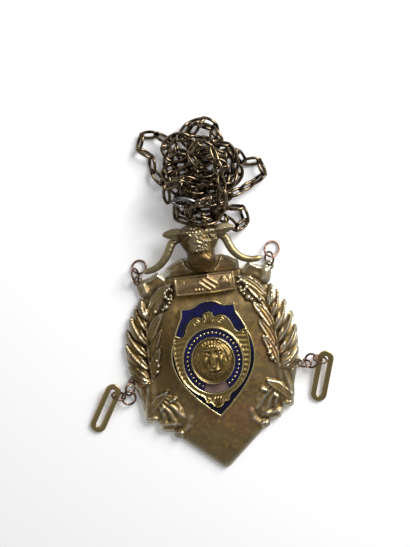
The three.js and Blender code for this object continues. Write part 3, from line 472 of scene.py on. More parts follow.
def store_hollow(mesh):
    """How far, in millimetres, the surface round each point stands above it."""
    count = len(mesh.vertices)
    points = np.empty(3 * count)
    normals = np.empty(3 * count)
    ends = np.empty(2 * len(mesh.edges), int)
    mesh.vertices.foreach_get("co", points)
    mesh.vertices.foreach_get("normal", normals)
    mesh.edges.foreach_get("vertices", ends)
    points, normals, ends = points.reshape(-1, 3), normals.reshape(-1, 3), ends.reshape(-1, 2)
    one_way = np.concatenate([ends[:, 0], ends[:, 1]])
    other_way = np.concatenate([ends[:, 1], ends[:, 0]])
    shared = np.maximum(np.bincount(one_way, minlength=count), 1)
    around = points.copy()
    for _ in range(HOLLOW_ROUNDS):
        sums = [np.bincount(one_way, around[other_way, axis], count) for axis in range(3)]
        around = np.stack(sums, 1) / shared[:, None]
    hollow = ((around - points) * normals).sum(1) / MM
    for _ in range(SOFTEN_ROUNDS):
        hollow = 0.5 * hollow + 0.5 * np.bincount(one_way, hollow[other_way], count) / shared
    store(mesh, "hollow", hollow)


def mesh_of(name, part):
    points, faces = part
    mesh = bpy.data.meshes.new(name)
    mesh.from_pydata((points * MM).tolist(), [], faces)
    mesh.validate()
    mesh.update()
    return mesh


def add_piece(name, mesh, finish, slot, *nodes, grime_and_shade=None):
    """Puts a mesh on the root body in place of its solids; a map of x and y gives its grime and painted
    shade.
    """
    mesh.shade_smooth()
    mesh.set_sharp_from_angle(angle=CREASE)
    store_hollow(mesh)
    if grime_and_shade:
        points = np.empty(3 * len(mesh.vertices))
        mesh.vertices.foreach_get("co", points)
        store(mesh, "grime_and_shade", grime_and_shade(points[0::3] / MM, points[1::3] / MM))
    made = bpy.data.objects.new(name, mesh)
    scene.collection.objects.link(made)
    mesh.materials.append(finish.material)
    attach(made, "root")
    if nodes:
        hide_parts(*nodes)
    print(name, "faces:", len(mesh.polygons))


print("helpers: store, store_hollow, mesh_of, add_piece")

# %% [markdown]
# ## Outlines and strokes
# A die cutter works with a few kinds of mark: a filled outline, a ridge from here to there, a bead.
# Each is a function of the distance to a point, a line or an outline, so each is one line of numpy.

# %% Marks


def smooth(low, high, value):
    share = np.clip((value - low) / (high - low), 0, 1)
    return share * share * (3 - 2 * share)


def stroke(x, y, start, end):
    """Share of the way along a straight stroke, and the distance from it."""
    run = (end[0] - start[0], end[1] - start[1])
    share = ((x - start[0]) * run[0] + (y - start[1]) * run[1]) / (run[0] ** 2 + run[1] ** 2)
    share = np.clip(share, 0, 1)
    return share, np.hypot(x - start[0] - share * run[0], y - start[1] - share * run[1])


def soft_max(first, second, reach):
    """The higher of two heights, with the corner between them filled."""
    near = np.maximum(reach - np.abs(first - second), 0)
    return np.maximum(first, second) + near * near / (4 * reach)


def dome(ratio, fullness=0.5):
    return np.clip(1 - ratio * ratio, 0, 1) ** fullness


def swell(x, y, middle, wide, high):
    """A soft mound, 1 in its middle."""
    return np.exp(-((x - middle[0]) / wide) ** 2 - ((y - middle[1]) / high) ** 2)


def mounds(x, y, rows):
    """The sum of named mounds: name, middle, half width, half height and rise."""
    return sum(rise * swell(x, y, middle, wide, high) for _, middle, wide, high, rise in rows)


def ridge(value, crest, width):
    """A soft ridge, 1 where a value is at its crest."""
    return np.exp(-((value - crest) / width) ** 2)


def raised(depth, reach):
    """Turns up from 0 at an edge to 1 well inside it."""
    return 1 - np.exp(-np.maximum(depth, 0) / reach)


def span(value, low, rising, falling, high):
    """1 from where it has risen to where it falls, and 0 outside its ends."""
    return smooth(low, rising, value) * (1 - smooth(falling, high, value))


def outline(rows, steps=14):
    """A mirrored outline drawn from the bottom up its right side; four numbers make a curve."""
    points = [np.array(rows[0], float)]
    for row in rows[1:]:
        start, end = points[-1], np.array(row[-2:], float)
        if len(row) == 2:
            points.append(end)
            continue
        bend = np.array(row[:2], float)
        for share in np.linspace(0, 1, steps + 1)[1:]:
            points.append((1 - share) ** 2 * start + 2 * share * (1 - share) * bend + share ** 2 * end)
    right = np.array(points)
    return np.concatenate([right, (right * (-1, 1))[-2:0:-1]])


def depth_in(points):
    """The depth inside a closed outline, negative outside, as a function of x and y."""
    ends = np.roll(points, -1, 0)

    def depth(x, y):
        nearest = np.full(np.shape(x), np.inf)
        within = np.zeros(np.shape(x), bool)
        for a, b in zip(points, ends):
            nearest = np.minimum(nearest, stroke(x, y, a, b)[1])
            if a[1] != b[1]:
                crosses = (a[1] > y) != (b[1] > y)
                within ^= crosses & (x < a[0] + (y - a[1]) * (b[0] - a[0]) / (b[1] - a[1]))
        return np.where(within, nearest, -nearest)

    return depth


print("helpers: smooth, stroke, soft_max, dome, swell, mounds, ridge, raised, span, outline, depth_in")

# %% [markdown]
# ## Backplate
# The plate, its two laurel branches, the ribbon folds, the lugs and the mantle under the head are
# one casting. Separate leaves could be bent and joined, but a cast leaf has no underside: it is a
# raised mark on the plate. So each leaf, fold and berry is a mark, and the highest mark wins.

# %% Wreath marks
LEAVES = (
    # base, tip, width, bend, lift, and 1 where it is cupped
    ((30.0, -7.6), (40.0, -3.6), 4.6, -0.6, 0.0, 0),
    ((30.2, -7.2), (40.3, 1.2), 4.8, -0.8, 0.4, 0),
    ((30.3, -5.6), (40.4, 6.4), 5.0, -0.9, 0.0, 0),
    ((30.4, -1.6), (40.4, 12.0), 5.4, -1.1, 0.5, 0),
    ((30.4, 4.0), (39.3, 18.6), 5.6, -1.2, 0.0, 0),
    ((30.0, 10.0), (36.6, 24.4), 5.4, -1.1, 0.6, 0),
    ((29.3, 16.0), (33.6, 29.2), 5.0, -1.0, 0.1, 0),
    ((28.4, 21.5), (31.0, 32.6), 4.4, -0.8, 0.6, 0),
    ((29.6, -6.0), (24.4, 8.6), 4.6, -0.9, 0.5, 1),
    ((29.6, 3.0), (23.2, 16.4), 4.8, -0.9, 0.1, 1),
    ((29.2, 11.5), (21.6, 24.6), 5.0, -1.0, 0.6, 1),
    ((28.8, 20.0), (19.8, 32.8), 4.8, -1.2, 0.1, 1),
    ((27.6, 26.6), (16.0, 37.4), 4.2, -1.6, 0.5, 1),
)
STEM = ((30, -7), (30.4, 7), (29.6, 19), (28.2, 27.0), (25.6, 32.6), (21.4, 36.6), (15.4, 37.8))
STEM_RADIUS, STEM_RISE = 0.75, 1.3
BERRIES = (
    # x, y, radius
    (15.5, 34.9, 0.9), (16.9, 35.5, 0.95), (18.3, 34.9, 1.0), (19.3, 33.6, 1.0), (19.2, 31.9, 1.0),
    (18.0, 30.9, 0.95), (16.6, 30.6, 0.9), (16.4, 32.3, 1.0), (17.7, 29.1, 0.9), (19.4, 27.4, 1.5),
    (21.0, 26.2, 0.9), (24.8, 25.6, 1.2), (23.6, 20.2, 0.9), (27.2, -2.4, 1.3), (26.3, 0.2, 1.1),
    (27.0, 2.8, 0.9),
)
LEAF_FILLET, BERRY_FILLET, FOLD_FILLET, CLOTH_FILLET = 0.3, 0.1, 0.5, 0.8


def leaf_mark(x, y, base, tip, width, bend, lift, cupped):
    """A leaf: a roof over its midrib with a drooping tip, or a cup with a raised rim and midrib."""
    length = math.dist(base, tip)
    cos, sin = (tip[0] - base[0]) / length, (tip[1] - base[1]) / length
    u = ((x - base[0]) * cos + (y - base[1]) * sin) / length
    v = (y - base[1]) * cos - (x - base[0]) * sin - 4 * bend * u * (1 - u)
    run = np.clip(u, 1e-3, 1 - 1e-3)
    reach = width * run ** 0.6 * (1 - run) ** 0.6
    depth = np.minimum(reach - np.abs(v), length * np.minimum(u, 1 - u) + 0.3)
    across = np.clip(np.abs(v) / reach, 0, 1)
    rim = ridge(across, 0.8, 0.18)
    rib = ridge(v, 0, 0.36)
    roof = 0.75 * (1 - across) ** 1.2 + 0.12 * rim + 0.35 * rib
    cup = 0.3 + 0.5 * rim + 0.45 * rib * (1 - 0.4 * u)
    droop = 2.3 * (1 - u) * smooth(0, 0.4, u) - 1.0 * smooth(0.4, 1.0, u)
    rise, curl = (cup, 0.3 * u * u) if cupped else (roof, droop)
    return depth, lift + rise * smooth(0, 0.12, u) + curl, LEAF_FILLET


def berry_mark(x, y, berry_x, berry_y, radius):
    off = np.hypot(x - berry_x, y - berry_y)
    return radius - off, 0.3 + 1.4 * radius * dome(off / radius), BERRY_FILLET


print("leaves:", len(LEAVES), "berries:", len(BERRIES), "on each side")

# %% Ribbon, lug and mantle marks
SASH = np.array([
    (29.4, -5.8), (38.6, -7.4), (37.5, -11.0), (36.2, -15.7), (35.7, -20.9), (34.5, -24.7), (32.1, -26.2),
    (29.5, -25.6), (28.6, -20), (29.0, -13),
])
STRAP = np.array([
    (23.0, -11.2), (26.4, -12.3), (29.4, -13.4), (32.2, -16.4), (35.4, -19.8), (35.2, -23.6), (32.6, -23.4),
    (30.0, -21.0), (26.6, -17.6), (23.2, -14.4),
])
GATHERS = np.array([
    (28.4, -13.2), (22.4, -14.0), (19.8, -16.8), (17.4, -21), (16.4, -25.4), (18.4, -29.2), (22, -30.6),
    (27.6, -29.8), (29.6, -25.0), (30.4, -19),
])
LUG = np.array([
    (17.8, 39.4), (22.2, 43.7), (24.6, 41.8), (30.7, 39.9), (31.2, 36.4), (29.2, 33.4), (24.0, 36.2),
    (18.2, 37.8),
])
GATHER_KNOT, GATHER_PERIOD = (30.0, -12.0), 0.26
LUG_FILLET = 0.6
FOLDS = (
    # start, end, radius at each end, rise
    ((30.2, -6.0), (30.4, -12.4), 2.1, 1.9, 1.0),
    ((30.4, -24.2), (32.8, -24.0), 2.0, 2.2, 1.5),
    ((20.8, -16.2), (22.6, -17.2), 1.7, 1.5, 1.5),
    ((26.2, -19.4), (27.4, -20.8), 1.8, 1.6, 1.6),
    ((19.0, -21.5), (19.4, -26.5), 1.7, 1.9, 0.9),
    ((22.0, -28.0), (27.4, -27.6), 2.3, 2.1, 1.8),
    ((22.8, -29.6), (26.8, -29.1), 1.9, 1.7, 1.2),
    ((19.6, -32.6), (20.6, -32.4), 2.2, 2.1, 1.6),
    ((14.4, -26.0), (15.4, -29.8), 1.7, 1.5, 0.45),
    ((15.4, -29.8), (18.6, -33.0), 1.5, 1.5, 0.5),
    ((28.9, 38.4), (28.2, 35.2), 3.0, 2.8, 1.5),
    ((19.0, 39.8), (21.9, 42.2), 1.3, 1.6, 1.0),
    ((21.9, 42.2), (25.0, 40.5), 1.6, 1.5, 1.1),
    ((25.0, 40.5), (29.6, 38.9), 1.5, 1.7, 0.9),
    ((9.3, 48.6), (8.7, 46.3), 0.5, 0.5, 0.4),
    ((8.7, 46.3), (7.3, 43.8), 0.5, 0.5, 0.4),
    ((7.3, 43.8), (5.2, 42.2), 0.5, 0.5, 0.4),
)
sash_depth, strap_depth = depth_in(SASH), depth_in(STRAP)
gather_depth, lug_depth = depth_in(GATHERS), depth_in(LUG)


def fold_mark(x, y, start, end, first, last, rise):
    """A soft roll that runs out into the ground on all sides."""
    share, off = stroke(x, y, start, end)
    radius = first + (last - first) * share
    return radius - off, rise * dome(off / radius, 1.6), FOLD_FILLET


def cloth_marks(x, y):
    """The ribbon's flat stretches: a fluted sash, a strap, a fan of gathers, and the scrolled lug."""
    sash = sash_depth(x, y)
    flutes = np.cos(1.7 * (x - 33.4 + 0.2 * (y + 15)))
    yield sash, raised(sash, 0.7) + 0.35 * flutes * smooth(0.3, 1.6, sash), CLOTH_FILLET
    strap = strap_depth(x, y)
    yield strap, 1.3 * raised(strap, 0.5) + 0.35 * ridge(strap, 0.75, 0.45), FOLD_FILLET
    gather = gather_depth(x, y)
    off_x, off_y = GATHER_KNOT[0] - x, GATHER_KNOT[1] - y
    away = np.hypot(off_x, off_y)
    wave = np.cos(2 * math.pi * np.arctan2(off_y, off_x) / GATHER_PERIOD + 0.6 * np.sin(0.7 * away))
    folds = (0.5 + 0.5 * wave) * smooth(2, 7, away)
    yield gather, (0.5 + 0.75 * folds) * raised(gather, 0.8), CLOTH_FILLET
    lug = lug_depth(x, y)
    saddle = 0.9 - 0.6 * swell(x, y, (26.0, 38.4), 2.6, 1.8)
    yield lug, saddle * raised(lug, 0.6), LUG_FILLET


def plate_marks(x, y):
    """Depth, rise and fillet of every raised mark, drawn once for both halves of the plate."""
    x = np.abs(x)
    yield from (leaf_mark(x, y, *row) for row in LEAVES)
    for start, end in zip(STEM, STEM[1:]):
        yield fold_mark(x, y, start, end, STEM_RADIUS, STEM_RADIUS, STEM_RISE)
    yield from cloth_marks(x, y)
    yield from (fold_mark(x, y, *row) for row in FOLDS)
    yield from (berry_mark(x, y, *row) for row in BERRIES)


print("folds:", len(FOLDS), "on each side")

# %% Heights of the plate
PLATE_AREA, PLATE_STEP, PLATE_FOOT = ((-42, -52), (42, 50.2)), 0.36, 0.0
PLATE_EDGE, PLATE_FLAT, PLATE_TURN = 0.9, 2.5, 0.7
FIELD_RISE, FIELD_REACH = 2.4, 11.0
MANTLE_EDGE, MANTLE_TOP = 3.2, 4.1
MARK_FOOT, MARK_STEP, MARK_FALL = 2.6, 0.05, 4.0
EYELETS = ((31.0, 41.0), (39.3, -6.2))
EYELET_RADIUS, EYELET_WIRE, EYELET_LEVEL = 1.9, 0.6, 2.5
EYELET_POINTS, EYELET_SIDES = 36, 14

mantle_rows = [(17.3, 45.2), (14.2, 47.6, 9.6, 49.1), (0, 49.1)]
plate_depth = depth_in(outline([
    (0, -51.3), (1.4, -51.1, 2.6, -50.0), (19.6, -35.2), (22.0, -31.2), (26, -26.5), (32, -24),
    (33.5, -14, 37, -8.5), (38.2, -4), (34.6, 3, 35.4, 14), (33.6, 25, 29.4, 32.6), (33.4, 36, 30.9, 39.6),
    (27, 40.6, 24.4, 42.0), (23.2, 43.5, 22.0, 43.8), (20.6, 42.6, 18.6, 40.2), (17.3, 41.6), *mantle_rows,
]))
mantle_depth = depth_in(outline([(0, 41.0), (17.3, 41.2), *mantle_rows]))


def plate_inside(x, y):
    depth = plate_depth(x, y)
    for mark_depth, *_ in plate_marks(x, y):
        depth = np.maximum(depth, mark_depth)
    return depth


def plate_height(x, y):
    depth = plate_depth(x, y)
    domed = FIELD_RISE * raised(depth, FIELD_REACH) * (1 - smooth(23.0, 33.0, y))
    ground = PLATE_EDGE + (PLATE_FLAT - PLATE_EDGE) * raised(depth, PLATE_TURN) + domed
    ground += 0.06 * np.sin(0.7 * x + 0.4 * y) * np.sin(0.5 * y - 0.3 * x)
    mantle = mantle_depth(x, y)
    edging = 0.4 * ridge(mantle, 0.45, 0.3) * smooth(42.5, 44.0, y)
    lobe = np.minimum(MANTLE_TOP, MANTLE_EDGE + 0.35 * np.maximum(mantle, 0)) + edging
    ground = np.where(mantle > 0, np.maximum(ground, lobe), ground)
    height = ground
    for mark_depth, rise, fillet in plate_marks(x, y):
        mark = np.maximum(MARK_FOOT, ground + MARK_STEP) + rise + MARK_FALL * np.minimum(mark_depth, 0)
        height = soft_max(height, mark, fillet)
    return height


print("helpers: plate_inside, plate_height")

# %% Backplate


def circle(middle, radius, count, lift=0.0):
    turn = np.linspace(0, 2 * math.pi, count, endpoint=False)
    rows = [radius * np.cos(turn) + middle[0], radius * np.sin(turn) + middle[1], np.full(count, lift)]
    return np.stack(rows, 1)


plate_parts = [relief(plate_inside, plate_height, *PLATE_AREA, PLATE_STEP, PLATE_FOOT)]
for eyelet_x, eyelet_y in EYELETS:
    for side in (1, -1):
        path = circle((side * eyelet_x, eyelet_y), EYELET_RADIUS, EYELET_POINTS, EYELET_LEVEL)
        plate_parts.append(wire(path, EYELET_WIRE, EYELET_SIDES, True))


def plate_painted_shade(x, y):
    """Painted shade: left of the shield, on the left branch, under the plaque and along the point's edge.
    """
    strip = swell(x, y, (-23, 4), 6, 24)
    branch = (1 - smooth(-32, -26, x)) * smooth(-8, -4, y)
    under = swell(x, y, (0, 30), 15, 2.4)
    edge = (1 - smooth(0.5, 1.6, plate_depth(x, y))) * (1 - smooth(-34, -30, y))
    return np.clip(0.85 * strip + 0.8 * branch + 0.6 * under + 0.9 * edge, 0, 1)


plate_mesh = mesh_of("plate_casting", joined(plate_parts))
add_piece("plate_casting", plate_mesh, plate_brass, "brass", "backplate", grime_and_shade=plate_painted_shade)

# %% [markdown]
# ## Ox head
# The head is modelled in the round: a broad curly forehead, a long face, a wide wet muzzle, ears that
# stick out sideways and smooth horns that sweep down and out. Box modelling would do it by hand. Here
# the face is a stack of rounded sections pushed in and out by soft mounds, and one voxel remesh then
# melts face, ears, horns and the hanging loop into a single skin, as a casting is.

# %% Sizes of the face
FACE_ROWS = np.array([
    # y, half width, back, front
    (41.4, 2.2, 6.8, 8.4), (42.0, 3.8, 5.8, 10.0), (43.2, 5.1, 4.8, 11.8), (45.0, 6.1, 4.1, 13.2),
    (47.2, 6.6, 4.1, 13.7), (49.4, 6.6, 4.1, 13.4), (51.2, 6.7, 4.1, 12.8), (53.4, 7.8, 4.1, 13.0),
    (56.2, 9.3, 4.1, 13.9), (59.0, 10.2, 4.1, 14.1), (61.2, 9.8, 4.1, 13.2), (63.0, 7.9, 4.1, 11.4),
    (63.9, 5.6, 4.6, 9.6), (64.2, 4.0, 5.2, 8.4),
])
FACE_FULLNESS = 0.72
FACE_COUNT = (130, 90)
FACE_MOUNDS = (
    # name, middle, half width, half height, rise
    ("brow", (5.6, 60.2), 2.4, 1.1, 1.1),
    ("eye socket", (6.0, 57.6), 2.4, 1.7, -1.9),
    ("bridge of the nose", (0, 53.8), 2.4, 3.4, 0.6),
    ("hollow cheek", (5.4, 52.8), 1.6, 2.6, -0.9),
    ("jaw", (7.8, 53.8), 1.1, 2.6, 0.5),
    ("muzzle", (3.8, 46.6), 2.2, 2.2, 0.5),
    ("between the nostrils", (0, 48.4), 2.2, 1.4, 0.4),
)
OX_EYE, OX_NOSTRIL = (6.2, 57.6), (3.5, 49.3)
NOSE_CREASE, MOUTH_LEVEL = 50.6, 44.6
CURLS, CURL_SEED = 150, 5
CURL_FOOT, CURL_REACH = 51.4, 12.2
CURL_RISE, CURL_WAVE, CURL_FADE, CURL_LIMIT = 0.24, 1.7, 1.0, 0.6
print("face rows:", len(FACE_ROWS), "mounds:", ", ".join(row[0] for row in FACE_MOUNDS))

# %% Forms of the face


def through(table, column, at):
    """A smooth curve through a table's column, at new places along its first column."""
    places, values = table[:, 0], table[:, column]
    slopes = np.gradient(values, places)
    k = np.clip(np.searchsorted(places, at) - 1, 0, len(places) - 2)
    gap = places[k + 1] - places[k]
    t = (at - places[k]) / gap
    first = (1 + 2 * t) * (1 - t) ** 2 * values[k] + t * (1 - t) ** 2 * gap * slopes[k]
    return first + t * t * (3 - 2 * t) * values[k + 1] + t * t * (t - 1) * gap * slopes[k + 1]


def face_swelling(x, y):
    """How far the face stands out from its plain sections, in millimetres."""
    wide = np.abs(x)
    out = mounds(wide, y, FACE_MOUNDS)
    eye_x, eye_y = wide - OX_EYE[0], y - OX_EYE[1]
    eye = np.hypot(eye_x / 1.7, (eye_y + 0.35 * eye_x) / 1.1)
    out += 1.5 * dome(eye) + 0.4 * ridge(eye, 1.3, 0.2)
    nostril_x, nostril_y = wide - OX_NOSTRIL[0], y - OX_NOSTRIL[1]
    nostril = np.hypot((nostril_x + 0.5 * nostril_y) / 0.75, nostril_y + 0.35 * nostril_x)
    crease = ridge(y - NOSE_CREASE + 0.02 * x * x, 0, 0.4) * (1 - smooth(3.8, 5.2, wide))
    mouth = ridge(y - MOUTH_LEVEL - 0.045 * x * x, 0, 0.3) * (1 - smooth(3.6, 5.2, wide))
    groove = ridge(x, 0, 0.3) * span(y, 44.9, 45.5, 48.0, 49.0)
    return out - 0.5 * dome(nostril) - 0.7 * crease - 0.45 * mouth - 0.2 * groove


def curl_swelling(x, y):
    """Short locks that hang over the forehead, thinning to a point down the nose."""
    dice = np.random.default_rng(CURL_SEED)
    out = np.zeros(np.shape(x))
    for _ in range(CURLS):
        curl_y = CURL_FOOT + CURL_REACH * dice.random() ** 0.7
        spread = np.clip(1.2 + 0.8 * (curl_y - CURL_FOOT), 1.2, 7.4)
        curl_x = 0.6 + (dice.random() * 2 - 1) * spread
        lean = 0.08 * curl_x + 0.5 * (dice.random() - 0.5)
        off = np.hypot(1.25 * (x - curl_x - lean * (y - curl_y)), 0.65 * (y - curl_y))
        out += CURL_RISE * np.cos(2 * math.pi * off / CURL_WAVE) * ridge(off, 0, CURL_FADE)
    return np.clip(out, -CURL_LIMIT, CURL_LIMIT)


print("helpers: through, face_swelling, curl_swelling")

# %% Stack the face's sections
rows = np.linspace(FACE_ROWS[0, 0], FACE_ROWS[-1, 0], FACE_COUNT[0])
turns = np.linspace(0, math.pi, FACE_COUNT[1])
half, back, front = (through(FACE_ROWS, column, rows)[:, None] for column in (1, 2, 3))
bow = np.sign(np.cos(turns)) * np.abs(np.cos(turns)) ** FACE_FULLNESS
arch = np.maximum(np.sin(turns), 0) ** FACE_FULLNESS
face_x, face_z = half * bow, back + (front - back) * arch
face_y = np.broadcast_to(rows[:, None], face_x.shape)
pushed = (face_swelling(face_x, face_y) + curl_swelling(face_x, face_y)) * smooth(0.05, 0.5, arch)
face = np.stack([face_x + pushed * np.cos(turns) * 0.8, face_y, face_z + pushed * np.sin(turns)], -1)
print("face points:", face.shape[0] * face.shape[1])

# %% Horns, ears and loop
HORN = np.array([
    # share of the way, x, y, z, radius
    (0.0, 9.0, 58.4, 7.0, 1.8), (0.13, 12.2, 56.6, 7.4, 2.0), (0.28, 13.9, 53.4, 7.8, 2.0),
    (0.46, 15.9, 49.8, 8.0, 1.9), (0.64, 19.2, 46.6, 7.8, 1.75), (0.82, 23.4, 45.0, 7.6, 1.5),
    (0.96, 27.2, 45.0, 7.4, 1.1), (1.0, 28.0, 45.2, 7.4, 0.5),
])
HORN_LEAN = np.array([-0.7, -0.4, 0])
HORN_POINTS, HORN_SIDES, HORN_RINGS = 60, 20, 11
EAR_BASE, EAR_TIP = (7.2, 60.3), (16.9, 60.7)
EAR_LEVEL, EAR_HALF, EAR_THICK = 10.6, 2.9, 1.5
EAR_RINGS, EAR_SIDES = 26, 28
LOOP_MIDDLE, LOOP_RADIUS, LOOP_WIRE = (65.2, 3.4), 2.6, 0.5
LOOP_POINTS, LOOP_SIDES = 40, 14


def horn(side):
    at = np.linspace(0, 1, HORN_POINTS)
    path = np.stack([through(HORN, column, at) for column in (1, 2, 3)], 1)
    path += side * np.sin(math.pi * at)[:, None] * HORN_LEAN
    path = path * (side, 1, 1)
    rings = 1 + 0.03 * np.sin(2 * math.pi * HORN_RINGS * at) * (1 - smooth(0.1, 0.6, at))
    return wire(path, through(HORN, 4, at) * rings, HORN_SIDES, False)


def ear(side):
    turn = np.linspace(0, 2 * math.pi, EAR_SIDES, endpoint=False)
    rings = []
    for share in np.linspace(0.02, 0.99, EAR_RINGS):
        half_width = EAR_HALF * 1.75 * share ** 0.4 * (1 - share) ** 0.7 + 0.15
        thick = EAR_THICK * (0.35 + 0.65 * (1 - share))
        fold = np.maximum(np.sin(turn), 0) * (1 - np.abs(np.cos(turn)) ** 0.7)
        hollow = 0.8 * smooth(0.15, 0.6, -np.cos(turn)) * np.maximum(np.sin(turn), 0)
        middle = [EAR_BASE[k] + share * (EAR_TIP[k] - EAR_BASE[k]) for k in (0, 1)]
        along_y = middle[1] + half_width * np.cos(turn)
        level = EAR_LEVEL + thick * (0.6 * np.sin(turn) + 0.9 * fold - hollow * (1 - share))
        rings.append(np.stack([np.full(EAR_SIDES, side * middle[0]), along_y, level], 1))
    return skin(rings if side > 0 else [ring[::-1] for ring in rings], False)


loop_path = circle((0, 0), LOOP_RADIUS, LOOP_POINTS)[:, [2, 0, 1]] + (0, *LOOP_MIDDLE)
head_parts = [skin(face, False), wire(loop_path, LOOP_WIRE, LOOP_SIDES, True)]
for side in (1, -1):
    head_parts += [horn(side), ear(side)]
print("head parts:", len(head_parts))

# %% Melt the head into one casting
HEAD_VOXEL, HEAD_SOFTEN = 0.2, 0.5


def melted(name, part, voxel):
    """One skin over several closed shells."""
    rough = bpy.data.objects.new(name, mesh_of(name, part))
    scene.collection.objects.link(rough)
    melt = rough.modifiers.new("melt", "REMESH")
    melt.mode = "VOXEL"
    melt.voxel_size = voxel * MM
    soften = rough.modifiers.new("soften", "SMOOTH")
    soften.factor = HEAD_SOFTEN
    soften.iterations = 1
    graph = bpy.context.evaluated_depsgraph_get()
    mesh = bpy.data.meshes.new_from_object(rough.evaluated_get(graph))
    bpy.data.objects.remove(rough)
    return mesh


def head_grime_and_shade(x, y):
    """Grime and painted shade: dark cheeks, the left most, and a dark muzzle; forehead, ears, horns stay
    clean.
    """
    wide = np.abs(x)
    on_face = 1 - smooth(9.0, 11.0, wide)
    cheeks = smooth(3.4, 6.0, wide) * (1 - smooth(58.5, 61.5, y))
    muzzle = 1 - smooth(50.2, 52.4, y)
    # The left cheek gets more: painted shade on the side away from the lamp.
    return on_face * np.clip(cheeks * np.where(x < 0, 0.95, 0.45) + 0.9 * muzzle, 0, 1)


head_mesh = melted("ox_head_casting", joined(head_parts), HEAD_VOXEL)
add_piece("ox_head_casting", head_mesh, head_brass, "brass", "ox_head", grime_and_shade=head_grime_and_shade)

# %% [markdown]
# ## Plaque with clasped hands
# Under the muzzle sits a convex plaque with two cuffed hands that shake. It is low relief again, so
# cuffs, palms, fingers and thumbs are strokes on a rounded bar, with a fine fillet along its borders.

# %% Plaque
PLAQUE_MIDDLE, PLAQUE_HALF = 36.0, (14.2, 4.9)
PLAQUE_FOOT, PLAQUE_EDGE, PLAQUE_CROWN = 2.3, 4.4, 2.0
PLAQUE_AREA, PLAQUE_STEP = ((-14.8, 30.4), (14.8, 41.6)), 0.18
HAND_STROKES = (
    # start, end, radius at each end, rise
    ((-8.4, -0.1), (-1.6, 0.0), 2.3, 2.5, 0.9),
    ((10.0, -0.2), (5.4, -0.2), 2.2, 2.6, 0.95),
    ((-2.8, 2.6), (1.4, 3.0), 1.0, 1.1, 1.25),
    ((1.4, 3.0), (6.0, -1.0), 1.3, 1.1, 1.25),
    ((6.0, -1.0), (8.8, 1.6), 1.1, 1.1, 1.15),
    ((-0.6, 1.8), (4.4, -2.4), 1.2, 1.0, 1.3),
    ((-2.6, 0.6), (2.2, -3.0), 1.2, 0.9, 1.2),
    ((-4.6, -2.4), (-4.4, -2.7), 0.75, 0.7, 1.0),
    ((-3.0, -2.5), (-2.8, -2.8), 0.75, 0.7, 1.0),
    ((-1.4, -2.6), (-1.2, -2.9), 0.75, 0.7, 1.0),
)
HAND_FILLET = 0.5
CUFFS = (
    # middle, half length
    (-10.6, 2.0), (11.6, 1.3),
)
CUFF_HALF, CUFF_RISE = 3.2, 0.7


def plaque_inside(x, y):
    up = y - PLAQUE_MIDDLE
    ends = PLAQUE_HALF[0] - 0.012 * up * up - np.abs(x)
    return np.minimum(ends, PLAQUE_HALF[1] - 0.0016 * x * x - np.abs(up))


def plaque_height(x, y):
    up = y - PLAQUE_MIDDLE
    depth = np.maximum(plaque_inside(x, y), 0)
    height = PLAQUE_EDGE + PLAQUE_CROWN * dome(up / 5.4) * (1 - 0.25 * (x / PLAQUE_HALF[0]) ** 2)
    height -= 0.9 * np.exp(-depth / 0.25)
    height += 0.45 * ridge(depth, 0.6, 0.4) - 0.2 * ridge(depth, 1.3, 0.35)
    base = height.copy()
    for middle, half_length in CUFFS:
        side = smooth(0, 1.2, half_length - np.abs(x - middle)) * smooth(0, 2.0, CUFF_HALF - np.abs(up))
        height = np.maximum(height, base + CUFF_RISE * side)
    for start, end, first, last, rise in HAND_STROKES:
        share, off = stroke(x, up, start, end)
        radius = first + (last - first) * share
        height = soft_max(height, base + rise * dome(off / (1.2 * radius), 1.5), HAND_FILLET)
    return height


plaque_part = relief(plaque_inside, plaque_height, *PLAQUE_AREA, PLAQUE_STEP, PLAQUE_FOOT)
add_piece("hands_casting", mesh_of("hands_casting", plaque_part), plaque_brass, "brass", "hands_plaque")

# %% [markdown]
# ## Shield
# The shield is a struck brass tray for enamel: a thin bright rim, sunk fields, and an oval frame with
# scrolls above, ribs at both sides and a shell below. Height marks draw it as they drew the plate.

# %% Outlines of the shield and its frame
SHIELD_FOOT, SHIELD_FLOOR, RIM_TOP, FRAME_TOP = 4.3, 6.3, 7.4, 7.9
SHIELD_AREA, SHIELD_STEP = ((-20.6, -27.2), (20.6, 29.0)), 0.2
RIM_WIDTH = 0.85
FRAME_SHIFT = -0.4
BAND_HALF = (13.5, 14.9)
RIB_PERIOD, SCROLL_WAVES = 2.3, 1.25
SHELL_KNOT, SHELL_FLUTES = -24.6, 34
CREST_KNOT, CREST_FLUTES = 15.4, 22

shield_depth = depth_in(outline([
    (0, -26.6), (13.4, -15.6, 17.7, -6.5), (20.7, 0, 19.2, 6.8), (17.2, 14.6, 13.1, 21.6), (12.7, 25.8),
    (8.2, 24.8, 5.4, 26.8), (2.8, 28.4, 0, 28.4),
]))
frame_depth = depth_in(outline([
    (0, -22.4), (2.6, -22.0, 3.4, -19.8), (5.4, -20.4, 6.2, -18.0), (6.2, -16.4, 8.6, -15.6),
    (17.2, -9.6, 18.2, 1.0), (18.6, 6, 17.9, 10.6), (18.2, 13.8, 16.5, 14.0), (14.9, 13.8, 14.0, 12.9),
    (12.5, 12.5, 11.7, 14.8), (10.8, 18.4, 8.4, 20.3), (6.2, 22.0, 4.2, 21.3), (3.0, 20.7), (2.6, 22.2),
    (1.6, 23.4, 0, 23.4),
]))
SCROLLS = (
    # x, y, radius
    (5.7, 18.3, 1.7), (16.0, 12.2, 1.2), (4.6, -18.2, 1.5),
)
print("scrolls:", len(SCROLLS), "on each side")

# %% Shield


def oval_ratio(x, y, half):
    return np.hypot(x / half[0], y / half[1])


def scroll_mark(x, y, middle_x, middle_y, radius):
    """A scroll's eye: a button in a ring."""
    off = np.hypot(x - middle_x, y - middle_y) / radius
    waves = 0.3 * np.cos(2 * math.pi * SCROLL_WAVES * off) * (1 - off ** 4)
    return np.where(off < 1, waves + 0.3 * dome(off), 0)


